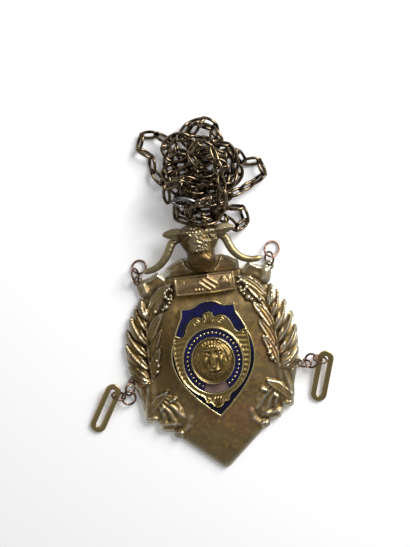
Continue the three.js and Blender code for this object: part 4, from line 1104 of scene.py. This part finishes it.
def frame_height(x, y):
    wide = np.abs(x)
    depth = frame_depth(x, y)
    oval = oval_ratio(x, y, BAND_HALF)
    outside_band = (oval - 1) * BAND_HALF[0]
    height = SHIELD_FLOOR + (FRAME_TOP - SHIELD_FLOOR) * smooth(0, 0.6, depth)
    height += 0.45 * ridge(depth, 0.65, 0.32) + 0.5 * ridge(outside_band, 0.5, 0.36)
    flank = smooth(1.0, 1.5, outside_band) * smooth(0.9, 1.5, depth) * smooth(11, 12.5, wide)
    flank *= 1 - smooth(9.5, 11.5, np.abs(y - 0.5))
    height += flank * (0.2 * np.cos(2 * math.pi * (y + 0.12 * wide) / RIB_PERIOD) - 0.12)
    for row in SCROLLS:
        height += scroll_mark(wide, y, *row)
    shell_fan = np.arctan2(wide, y - SHELL_KNOT)
    shell = (1 - smooth(1.6, 2.6, wide)) * span(y, -22.4, -21.4, -17.6, -16.6)
    height += shell * (0.35 * np.cos(SHELL_FLUTES * shell_fan) + 0.3)
    crest_fan = np.arctan2(wide, y - CREST_KNOT)
    crest = (1 - smooth(1.4, 2.4, wide)) * smooth(17.0, 18.2, y)
    height += crest * (0.3 * np.cos(CREST_FLUTES * crest_fan) + 0.3)
    return np.where(oval < 1, SHIELD_FLOOR, height)


def shield_height(x, y):
    depth = shield_depth(x, y)
    rim = np.where(depth < RIM_WIDTH, RIM_TOP - 0.8 + 0.8 * dome((depth - 0.45) / 0.55), 0)
    tray = np.maximum(SHIELD_FLOOR, rim)
    framed = frame_depth(x - FRAME_SHIFT, y) > 0
    return np.where(framed, np.maximum(frame_height(x - FRAME_SHIFT, y), rim), tray)


shield_part = relief(shield_depth, shield_height, *SHIELD_AREA, SHIELD_STEP, SHIELD_FOOT)
add_piece("shield_tray", mesh_of("shield_tray", shield_part), shield_brass, "brass", "shield")

# %% [markdown]
# ## Enamel
# Enamel lies a little below the rims and creeps up where it meets metal, so each field is a relief
# whose height turns up at its edge. The band round the lion carries plain round studs, and a bare
# pink label fills its lowest part.

# %% Enamel fields
ENAMEL_FOOT, ENAMEL_LEVEL, ENAMEL_CREEP = 6.35, 6.95, 0.15
ENAMEL_SPLIT, ENAMEL_SEAM = 2.0, 0.02
ENAMEL_AREA, ENAMEL_STEP = ((-20, -27), (20, 29)), 0.22


def field_inside(upward):
    def inside(x, y):
        clear_of_frame = -frame_depth(x - FRAME_SHIFT, y) - ENAMEL_SEAM
        half = upward * (y - ENAMEL_SPLIT) - ENAMEL_SEAM
        return np.minimum(np.minimum(shield_depth(x, y) - RIM_WIDTH + 0.05, clear_of_frame), half)
    return inside


def field_height(x, y):
    from_metal = np.minimum(shield_depth(x, y) - RIM_WIDTH, -frame_depth(x - FRAME_SHIFT, y))
    return ENAMEL_LEVEL + ENAMEL_CREEP * np.exp(-np.maximum(from_metal, 0) / 0.4)


for name, upward, finish in (("enamel_upper", 1, shield_enamel), ("enamel_lower", -1, lower_enamel_painted_shade)):
    part = relief(field_inside(upward), field_height, *ENAMEL_AREA, ENAMEL_STEP, ENAMEL_FOOT)
    add_piece(name + "_fill", mesh_of(name, part), finish, "enamel", name)

# %% Enamel band and studs
MEDAL_HALF = (10.5, 11.3)
BAND_AREA, BAND_STEP, BAND_LEVEL = ((-15, -16), (15, 16)), 0.2, 7.35
LABEL_HALF_ANGLE, LABEL_BLUR = 0.42, 0.02
STUDS, STUD_MARGIN = 34, 0.12
STUD_RADIUS, STUD_SIDES, STUD_SINK = 0.55, 14, 0.1
STUD_ROWS = (
    # share of the radius, lift
    (1.0, 0.0), (1.0, 0.18), (0.72, 0.36), (0.25, 0.44),
)


def band_inside(x, y):
    outer = (1 - oval_ratio(x - FRAME_SHIFT, y, BAND_HALF)) * BAND_HALF[0]
    inner = (oval_ratio(x - FRAME_SHIFT, y, MEDAL_HALF) - 1) * MEDAL_HALF[0]
    return np.minimum(outer, inner)


def band_height(x, y):
    return BAND_LEVEL + 0.12 * np.exp(-np.maximum(band_inside(x, y), 0) / 0.3)


def from_foot(x, y):
    """Angle round the band from its lowest point."""
    return np.abs(np.arctan2(x - FRAME_SHIFT, -y))


def stud(turn):
    """A domed stud in the middle of the band, at an angle from its lowest point."""
    half = [0.5 * (BAND_HALF[k] + MEDAL_HALF[k]) for k in (0, 1)]
    middle = (FRAME_SHIFT + half[0] * math.sin(turn), -half[1] * math.cos(turn))
    level = BAND_LEVEL - STUD_SINK
    rings = [circle(middle, share * STUD_RADIUS, STUD_SIDES, level + lift) for share, lift in STUD_ROWS]
    return skin(rings, False)


band_mesh = mesh_of("band_enamel", relief(band_inside, band_height, *BAND_AREA, BAND_STEP, ENAMEL_FOOT))
band_points = np.array([v.co for v in band_mesh.vertices]) / MM
angles = from_foot(band_points[:, 0], band_points[:, 1])
store(band_mesh, "label", 1 - smooth(LABEL_HALF_ANGLE - LABEL_BLUR, LABEL_HALF_ANGLE, angles))
add_piece("band_enamel", band_mesh, shield_enamel, "enamel", "enamel_band")
first_turn = LABEL_HALF_ANGLE + STUD_MARGIN
studs = [stud(turn) for turn in np.linspace(first_turn, 2 * math.pi - first_turn, STUDS)]
add_piece("band_studs", mesh_of("band_studs", joined(studs)), shield_brass, "brass")

# %% [markdown]
# ## Lion medallion
# The lion's mask fills the middle: a flat brow under upright tufts, deep-set eyes, a long nose, a
# rounded muzzle and a mane that flows down both sides. It could be carved lock by lock. Here mounds
# make the face, and waves across the strands of the mane make its locks.

# %% Sizes of the lion
MEDAL_AREA, MEDAL_STEP = ((-11.6, -12), (11.6, 12)), 0.15
MEDAL_FOOT, MEDAL_FIELD, MEDAL_GAP = 6.6, 8.1, 0.05
HAIR_TOP, HAIR_FALL = 10.4, 4.2
LOCK_WIDTH, HAIR_WIDTH = 2.3, 0.75
LION_EYE, LION_LIP = (2.75, 3.3), -5.3
LION_MOUNDS = (
    # name, middle, half width, half height, rise
    ("brow", (2.9, 5.2), 2.0, 0.75, 1.0),
    ("eye socket", (2.6, 3.4), 1.6, 1.1, -1.3),
    ("tip of the nose", (0, -2.9), 1.4, 0.6, 0.2),
    ("groove beside the nose", (2.2, -0.6), 0.7, 2.4, -0.7),
    ("cheek", (3.7, 0.2), 0.9, 1.8, 0.5),
    ("muzzle", (1.5, -4.3), 1.2, 0.8, 0.7),
)
print("lion mounds:", ", ".join(row[0] for row in LION_MOUNDS))

# %% Lion


def lion_inside(x, y):
    half = [reach - MEDAL_GAP for reach in MEDAL_HALF]
    return (1 - oval_ratio(x - FRAME_SHIFT, y, half)) * MEDAL_HALF[0]


def mane(x, y):
    """Locks that part at the top of the head, spread to both sides and hang down."""
    below = np.maximum(HAIR_TOP - y, 0.15)
    strand = np.abs(x) / (1 - np.exp(-below / HAIR_FALL))
    strand = strand + 0.22 * np.sin(1.1 * y + 0.9 * strand) + 0.12 * np.sin(2.3 * y)
    lock = np.abs(np.sin(math.pi * strand / LOCK_WIDTH))
    hair = np.cos(2 * math.pi * strand / HAIR_WIDTH)
    away = np.hypot(x, y)
    spread = 1 - smooth(7.4, 9.9, away)
    return spread * (1.1 - 0.06 * away + 0.4 * lock ** 0.8 + 0.08 * hair)


def lion_face(x, y):
    wide = np.abs(x)
    out = 2.0 * dome(np.hypot(x / 5.6, (y - 0.4) / 7.6), 0.4) + mounds(wide, y, LION_MOUNDS)
    eye_x, eye_y = wide - LION_EYE[0], y - LION_EYE[1]
    out += 1.2 * dome(np.hypot(eye_x / 1.35, (eye_y - 0.25 * eye_x) / 0.85), 0.8)
    out += 0.6 * ridge(x, 0, 1.1) * span(y, -3.8, -2.8, 4.8, 6.4)
    lip = y - LION_LIP - 0.08 * wide * wide
    mouth = 0.9 * ridge(lip, -0.75, 0.45) - 1.0 * ridge(lip, 0, 0.35)
    out += mouth * (1 - smooth(2.2, 3.2, wide))
    beard = span(y, -9.0, -7.4, -7.2, -6.4) * (1 - smooth(1.8, 3.0, wide))
    out += beard * (0.5 + 0.3 * np.cos(4.0 * x))
    tuft = span(y, 5.8, 6.8, 8.8, 9.8) * (1 - smooth(4.2, 5.6, wide))
    fan = np.arctan2(x, y - 1.5)
    return out + tuft * (0.6 + 0.12 * np.cos(30 * fan))


def lion_height(x, y):
    depth = np.maximum(lion_inside(x, y), 0)
    rim = 0.9 * ridge(depth, 0.6, 0.5) - 0.5 * np.exp(-depth / 0.2)
    x = x - FRAME_SHIFT
    return MEDAL_FIELD + rim + np.maximum(mane(x, y), lion_face(x, y)) * smooth(0.9, 1.8, depth)


lion_part = relief(lion_inside, lion_height, *MEDAL_AREA, MEDAL_STEP, MEDAL_FOOT)
add_piece("lion_casting", mesh_of("lion_casting", lion_part), lion_brass, "brass", "lion_medallion")

# %% [markdown]
# ## Jump rings and long links
# Every loose ring is round wire, cut and bent shut, and lies as it fell. The solids already know how
# each lies: the two long directions of a ring's points are its plane. The finer ring is drawn on it.
# The two long links are flat bars bent round a slot, so a rounded section is swept in place of wire.

# %% Rings
RING_WIRE, RING_SIDES = 0.5, 16
RING_BOW, RING_STRAIGHT = 22, 2


def lie_of(node):
    """Middle of a flat solid, the directions of its plane and of its normal, and its half sizes."""
    points = np.array([v.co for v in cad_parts[node].data.vertices]) / MM
    middle = 0.5 * (points.min(0) + points.max(0))
    _, _, axes = np.linalg.svd(points - points.mean(0))
    axes[2] = np.cross(axes[0], axes[1])
    spread = (points - middle) @ axes.T
    middle = middle + (0.5 * (spread.min(0) + spread.max(0))) @ axes
    return middle, axes, 0.5 * (spread.max(0) - spread.min(0))


def stadium(half_length, half_width, bow_steps, straight_steps):
    """Points round a slot shape, or a circle where it has no straight."""
    turn = np.linspace(-0.5 * math.pi, 0.5 * math.pi, bow_steps)
    bow = np.stack([np.cos(turn), np.sin(turn)], 1)
    straight = half_length - half_width
    right = bow * half_width + (straight, 0)
    across = np.linspace(1, -1, straight_steps + 2)[1:-1, None] * (straight, 0) + (0, half_width)
    path = np.concatenate([right, across]) if straight > 1e-3 else right[:-1]
    return np.concatenate([path, -path])


ring_names = sorted(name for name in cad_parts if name.startswith("ring_"))
for name in ring_names:
    middle, axes, half = lie_of(name)
    flat = stadium(half[0] - RING_WIRE, half[1] - RING_WIRE, RING_BOW, RING_STRAIGHT)
    path = middle + flat[:, :1] * axes[0] + flat[:, 1:] * axes[1]
    ring_mesh = mesh_of(name, wire(path, RING_WIRE, RING_SIDES, True))
    add_piece(name + "_wire", ring_mesh, ring_copper, "copper", name)

# %% Long links
LONG_HALF, LONG_SLOT = (12.3, 3.8), 1.2
LONG_THICK, LONG_ROUND = 1.2, 0.38
LONG_BOW, LONG_STRAIGHT = 28, 14


def rounded_section(half_wide, half_thick, round_off, steps=5):
    corners = []
    for k, (sx, sy) in enumerate(((1, 1), (-1, 1), (-1, -1), (1, -1))):
        turn = np.linspace(0, 0.5 * math.pi, steps) + 0.5 * math.pi * k
        middle = (sx * (half_wide - round_off), sy * (half_thick - round_off))
        corners.append(np.stack([np.cos(turn), np.sin(turn)], 1) * round_off + middle)
    return np.concatenate(corners)


def flat_link(node):
    middle, axes, _ = lie_of(node)
    half_wide = 0.5 * (LONG_HALF[1] - LONG_SLOT)
    path = stadium(LONG_HALF[0] - half_wide, LONG_HALF[1] - half_wide, LONG_BOW, LONG_STRAIGHT)
    ahead = unit(np.roll(path, -1, 0) - np.roll(path, 1, 0))
    outward = np.stack([ahead[:, 1], -ahead[:, 0]], 1)
    section = rounded_section(half_wide, 0.5 * LONG_THICK, LONG_ROUND)
    rings = []
    for point, out in zip(path, outward):
        flat = point + section[:, :1] * out
        rings.append(middle + flat[:, :1] * axes[0] + flat[:, 1:] * axes[1] - section[:, 1:] * axes[2])
    return skin(rings, True)


for name in ("long_link_left", "long_link_right"):
    add_piece(name + "_flat", mesh_of(name, flat_link(name)), link_brass, "brass", name)

# %% [markdown]
# ## Neck chain
# The chain is one loop of 139 oval links, tipped out of a hand into a heap. A rigid-body run could
# drop it, but it would never land twice the same way. Instead the joints between the links start on a
# listed route, and a few rules are repeated until they settle: each joint falls, links keep their
# length, strands push each other apart, and nothing sinks into the floor or the head. The solid tube
# under the links was settled by the same rules, so the links lie along it, each an oval of wire rolled
# to one side or the other by turns, as links that thread each other lie.

# %% Route and rules
CHAIN_LINKS, CHAIN_PITCH, CHAIN_CORE = 139, 6.9, 3.2
HOOK_POINT = np.array([0, 65.2, 3.4])
CLASP_PLACE, CLASP_HEADING = np.array([-3.4, 74, 11.6]), math.radians(169)
CLASP_LENGTH, CLEARANCE = 14.2, 0.3
HEAP_ROUTE = np.array([
    (5, 73, 11), (14, 75, 10), (23, 78, 8), (30, 83, 6), (34.6, 89, 5), (31, 92.5, 4.5), (26, 88.5, 4.5),
    (23, 94, 6), (15, 94, 9), (5, 96, 10), (-3, 103, 8), (1, 110, 6), (9, 112, 5), (14.5, 106.5, 5),
    (9, 101, 6), (0, 100, 6), (5, 105.5, 7), (12.5, 103, 7), (17, 98, 7), (10, 94, 7), (1, 94, 7),
    (-6, 97, 6), (-10, 103.5, 4), (-16, 108, 3), (-21, 110, 3), (-22, 103.5, 3), (-17, 96, 3),
    (-17, 88, 3), (-10, 83, 3), (0, 86, 3), (10, 87, 3), (18, 89, 3), (12, 93.5, 3), (3, 92, 3),
    (-6, 90, 3), (-11, 93.5, 3), (-8, 99, 3), (1, 98, 3.5), (10, 99, 3), (18, 98, 3), (21.5, 92, 3),
    (22, 84, 3), (17, 79, 3), (7, 80, 3), (-3, 78.5, 3), (-9.5, 74, 3), (-8.5, 68, 3), (-4.5, 65.6, 3.4),
    (0, 65.2, 3.4), (6, 66, 3.4), (14.4, 67.4, 4), (19.2, 63.4, 6), (20.6, 58.6, 6), (22.2, 63.6, 5),
    (19, 70.6, 5), (12, 73, 6), (4, 73.4, 6), (-4, 73.6, 6), (-9.5, 76.5, 6), (-3, 79, 6), (7, 75.5, 6.5),
    (15, 75, 7), (18.5, 80, 7), (13, 84, 7), (4, 82, 8), (-5, 83, 8), (-11, 80, 7), (-10, 86, 7),
    (-3, 89, 8), (6, 86, 8), (13, 79, 9), (15.8, 71, 9.5), (9, 67.6, 12), (2, 67.8, 12), (-4, 71, 9),
    (-5, 77.5, 8.5), (-9, 83, 8), (-2, 86, 9), (7, 84, 9), (11, 77.5, 10), (16, 83, 10), (21, 91, 8),
    (21.5, 97, 6), (14, 99, 9), (6, 104, 9), (-2, 103, 10), (-10, 101, 7), (-11.5, 95.5, 6), (-4, 94, 9),
    (5, 95, 10), (13, 95, 11), (18, 91, 11), (14, 86, 11), (6, 88, 11), (-2, 86, 11), (-9, 89, 8),
    (-13.5, 90.5, 6), (-11, 84.5, 9), (-3, 82, 10), (6, 83, 10), (13, 82, 11), (17, 87, 12), (14, 92, 13),
    (7, 91, 13), (0, 93, 13), (2, 99, 13), (9, 98, 13.5), (13, 92, 14), (13, 84, 13), (12.8, 73, 13.5),
    (11, 67, 14.2), (5, 64, 15.4), (-3, 64, 15.4), (-7, 67.2, 14.2), (-1.5, 69.4, 14.6), (5, 70, 14.4),
    (8, 75.4, 13.6), (3, 78.5, 12), (-5, 81.5, 12), (-11, 82.5, 11), (-14.5, 79, 10), (-12, 75, 11),
], float)
SETTLE_ROUNDS, TIGHTEN_ROUNDS = 200, 120
FALL, HOLD, LOWEST, LEAST_SPREAD = 0.05, 0.03, 2.2, 1.6
STRAND_CLEAR, CLASP_CLEAR = 3.8, 5.0
BEAD_SHARES = (0, 1 / 3, 2 / 3)
HEAD_MIDDLE, HEAD_REACH = np.array([0, 53.5, 5]), np.array([12.2, 16.4, 11.6])


def clasp_end(way):
    reach = CLASP_LENGTH / 2 + CLEARANCE + (CHAIN_CORE / 2 if way > 0 else 0)
    return CLASP_PLACE + way * reach * np.array([math.cos(CLASP_HEADING), math.sin(CLASP_HEADING), 0])


def paced_route():
    marks = np.concatenate([[0], np.cumsum(np.linalg.norm(np.diff(HEAP_ROUTE, axis=0), axis=1))])
    walked = np.linspace(0, marks[-1], CHAIN_LINKS + 1)
    return np.stack([np.interp(walked, marks, HEAP_ROUTE[:, axis]) for axis in range(3)], 1)


def set_apart(joints, free, a, b, distance):
    share = free[a] + free[b]
    if not share:
        return
    gap = joints[b] - joints[a]
    length = math.sqrt(gap @ gap)
    gap = gap * ((length - distance) / share / length)
    joints[a] += gap * free[a]
    joints[b] -= gap * free[b]


print("route:", len(HEAP_ROUTE), "marks")

# %% Settle the heap


def part_strands(joints, free):
    """Pushes strands apart where they lie too close; the clasp counts as the link that closes the loop."""
    count = len(joints)
    link = np.repeat(np.arange(count), len(BEAD_SHARES))
    follow = (link + 1) % count
    share = np.tile(BEAD_SHARES, count)
    place = joints[link] + (joints[follow] - joints[link]) * share[:, None]
    clear = np.where(link == count - 1, CLASP_CLEAR, STRAND_CLEAR)
    between = link[None, :] - link[:, None]
    near = np.linalg.norm(place[None] - place[:, None], axis=2) < clear[None, :]
    for a, b in np.argwhere(near & (between >= 2) & (between <= count - 2)):
        here = joints[link[a]] * (1 - share[a]) + joints[follow[a]] * share[a]
        there = joints[link[b]] * (1 - share[b]) + joints[follow[b]] * share[b]
        gap = there - here
        length = math.sqrt(gap @ gap)
        if length >= clear[b]:
            continue
        gap = gap * (0.5 * (clear[b] - length) / length)
        for bead, sign in ((a, -1), (b, 1)):
            joints[link[bead]] += gap * (sign * (1 - share[bead]) * free[link[bead]])
            joints[follow[bead]] += gap * (sign * share[bead] * free[follow[bead]])


def keep_out(joints, loose):
    joints[loose, 2] = np.maximum(joints[loose, 2], LOWEST)
    inside = (joints[loose] - HEAD_MIDDLE) / HEAD_REACH
    depth = np.linalg.norm(inside, axis=1, keepdims=True)
    on_surface = HEAD_MIDDLE + inside / np.maximum(depth, 1e-9) * HEAD_REACH
    joints[loose] = np.where(depth < 1, on_surface, joints[loose])


def settled_joints():
    joints = paced_route()
    middles = 0.5 * (joints[1:] + joints[:-1])
    hooked = int(np.argmin(np.linalg.norm(middles - HOOK_POINT, axis=1)))
    joints[0], joints[-1] = clasp_end(-1), clasp_end(1)
    joints[hooked] = HOOK_POINT - (CHAIN_PITCH / 2, 0, 0)
    joints[hooked + 1] = HOOK_POINT + (CHAIN_PITCH / 2, 0, 0)
    free = np.ones(len(joints))
    free[[0, -1, hooked, hooked + 1]] = 0
    loose = free > 0
    start = joints.copy()
    last = len(joints) - 2
    for turn in range(SETTLE_ROUNDS + TIGHTEN_ROUNDS):
        if turn < SETTLE_ROUNDS:
            joints[loose, :2] += HOLD * (start[loose, :2] - joints[loose, :2])
            joints[loose, 2] -= FALL
        part_strands(joints, free)
        for i in range(last):
            if np.linalg.norm(joints[i] - joints[i + 2]) < CHAIN_PITCH * LEAST_SPREAD:
                set_apart(joints, free, i, i + 2, CHAIN_PITCH * LEAST_SPREAD)
        for i in (*range(last + 1), *range(last, -1, -1)):
            set_apart(joints, free, i, i + 1, CHAIN_PITCH)
        keep_out(joints, loose)
    return joints, hooked


joints, hooked = settled_joints()
spacing = np.linalg.norm(np.diff(joints, axis=0), axis=1)
tube_low, tube_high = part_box("neck_chain")
print("spacing:", spacing.min().round(2), spacing.max().round(2))
print("joints:", joints.min(0).round(1), joints.max(0).round(1))
print("tube:", [round(c / MM, 1) for c in tube_low], [round(c / MM, 1) for c in tube_high])

# %% Links
CHAIN_WIRE, CHAIN_HALVES = 0.75, (4.2, 1.95)
CHAIN_POINTS, CHAIN_SIDES = 28, 10
ROLL, SWAY, SWAY_RATE = math.radians(45), math.radians(14), 2.4


def placed(flat, middle, ahead, roll):
    """A flat shape laid along a direction and rolled about it."""
    ahead = unit(ahead)
    side = unit(np.cross((0, 0, 1), ahead))
    up = np.cross(ahead, side)
    turned = side * math.cos(roll) + up * math.sin(roll)
    return middle + flat[:, :1] * ahead + flat[:, 1:] * turned


turn = np.linspace(0, 2 * math.pi, CHAIN_POINTS, endpoint=False)
link_path = np.stack([CHAIN_HALVES[0] * np.cos(turn), CHAIN_HALVES[1] * np.sin(turn)], 1)
links = []
for i in range(CHAIN_LINKS):
    roll = ROLL * (1 if i % 2 else -1) + SWAY * math.sin(SWAY_RATE * (i - hooked))
    path = placed(link_path, 0.5 * (joints[i] + joints[i + 1]), joints[i + 1] - joints[i], roll)
    path[:, 2] += max(0.0, CHAIN_WIRE - path[:, 2].min())
    links.append(wire(path, CHAIN_WIRE, CHAIN_SIDES, True))
add_piece("chain_links", mesh_of("chain_links", joined(links)), chain_bronze, "bronze", "neck_chain")

# %% [markdown]
# ## Clasp
# A steel hook closes the loop: a teardrop of wire with a thick back, a spring gate, and a small eye.
# It is one closed sweep whose radius grows along its back, with a ring at each end for the last links.

# %% Clasp
CLASP_WIDTH, CLASP_WIRE, CLASP_SWELL, CLASP_TAPER = 6.0, 0.7, 0.5, 0.25
CLASP_POINTS, CLASP_SIDES = 72, 16
GATE_NOTCH, GATE_PLACE, GATE_WIDTH = 0.28, 0.42 * math.pi, 0.07
EYE_RADIUS, EYE_WIRE, EYE_POINTS, EYE_SIDES = 1.1, 0.45, 28, 12
END_RING, END_WIRE, END_POINTS, END_SIDES = 1.5, 0.4, 24, 10
END_ROLL = math.radians(70)
clasp_ahead = np.array([math.cos(CLASP_HEADING), math.sin(CLASP_HEADING), 0])

hook_length = CLASP_LENGTH - 2 * EYE_RADIUS - EYE_WIRE
turn = np.linspace(0, 2 * math.pi, CLASP_POINTS, endpoint=False)
reach = (CLASP_WIDTH / 2 - CLASP_WIRE) * (1 + CLASP_TAPER * (np.cos(turn) - 1))
hook_x = (hook_length / 2 - CLASP_WIRE) * np.cos(turn) + (CLASP_LENGTH - hook_length) / 2
hook = np.stack([hook_x, reach * np.sin(turn)], 1)
hook_radius = CLASP_WIRE + CLASP_SWELL * smooth(-0.1, 1, -np.sin(turn))
gate = 1 - GATE_NOTCH * ridge(turn, GATE_PLACE, GATE_WIDTH)
eye = circle((0, 0), EYE_RADIUS, EYE_POINTS)[:, :2] + (EYE_RADIUS + EYE_WIRE - CLASP_LENGTH / 2, 0)
clasp_parts = [
    wire(placed(hook, CLASP_PLACE, clasp_ahead, 0), hook_radius * gate, CLASP_SIDES, True),
    wire(placed(eye, CLASP_PLACE, clasp_ahead, 0), EYE_WIRE, EYE_SIDES, True),
]
for way in (-1, 1):
    ring = circle((0, 0), END_RING, END_POINTS)[:, :2]
    middle = CLASP_PLACE + way * clasp_ahead * (CLASP_LENGTH / 2 - 0.2)
    clasp_parts.append(wire(placed(ring, middle, clasp_ahead, END_ROLL), END_WIRE, END_SIDES, True))
add_piece("clasp_hook", mesh_of("clasp_hook", joined(clasp_parts)), clasp_steel, "steel", "clasp")
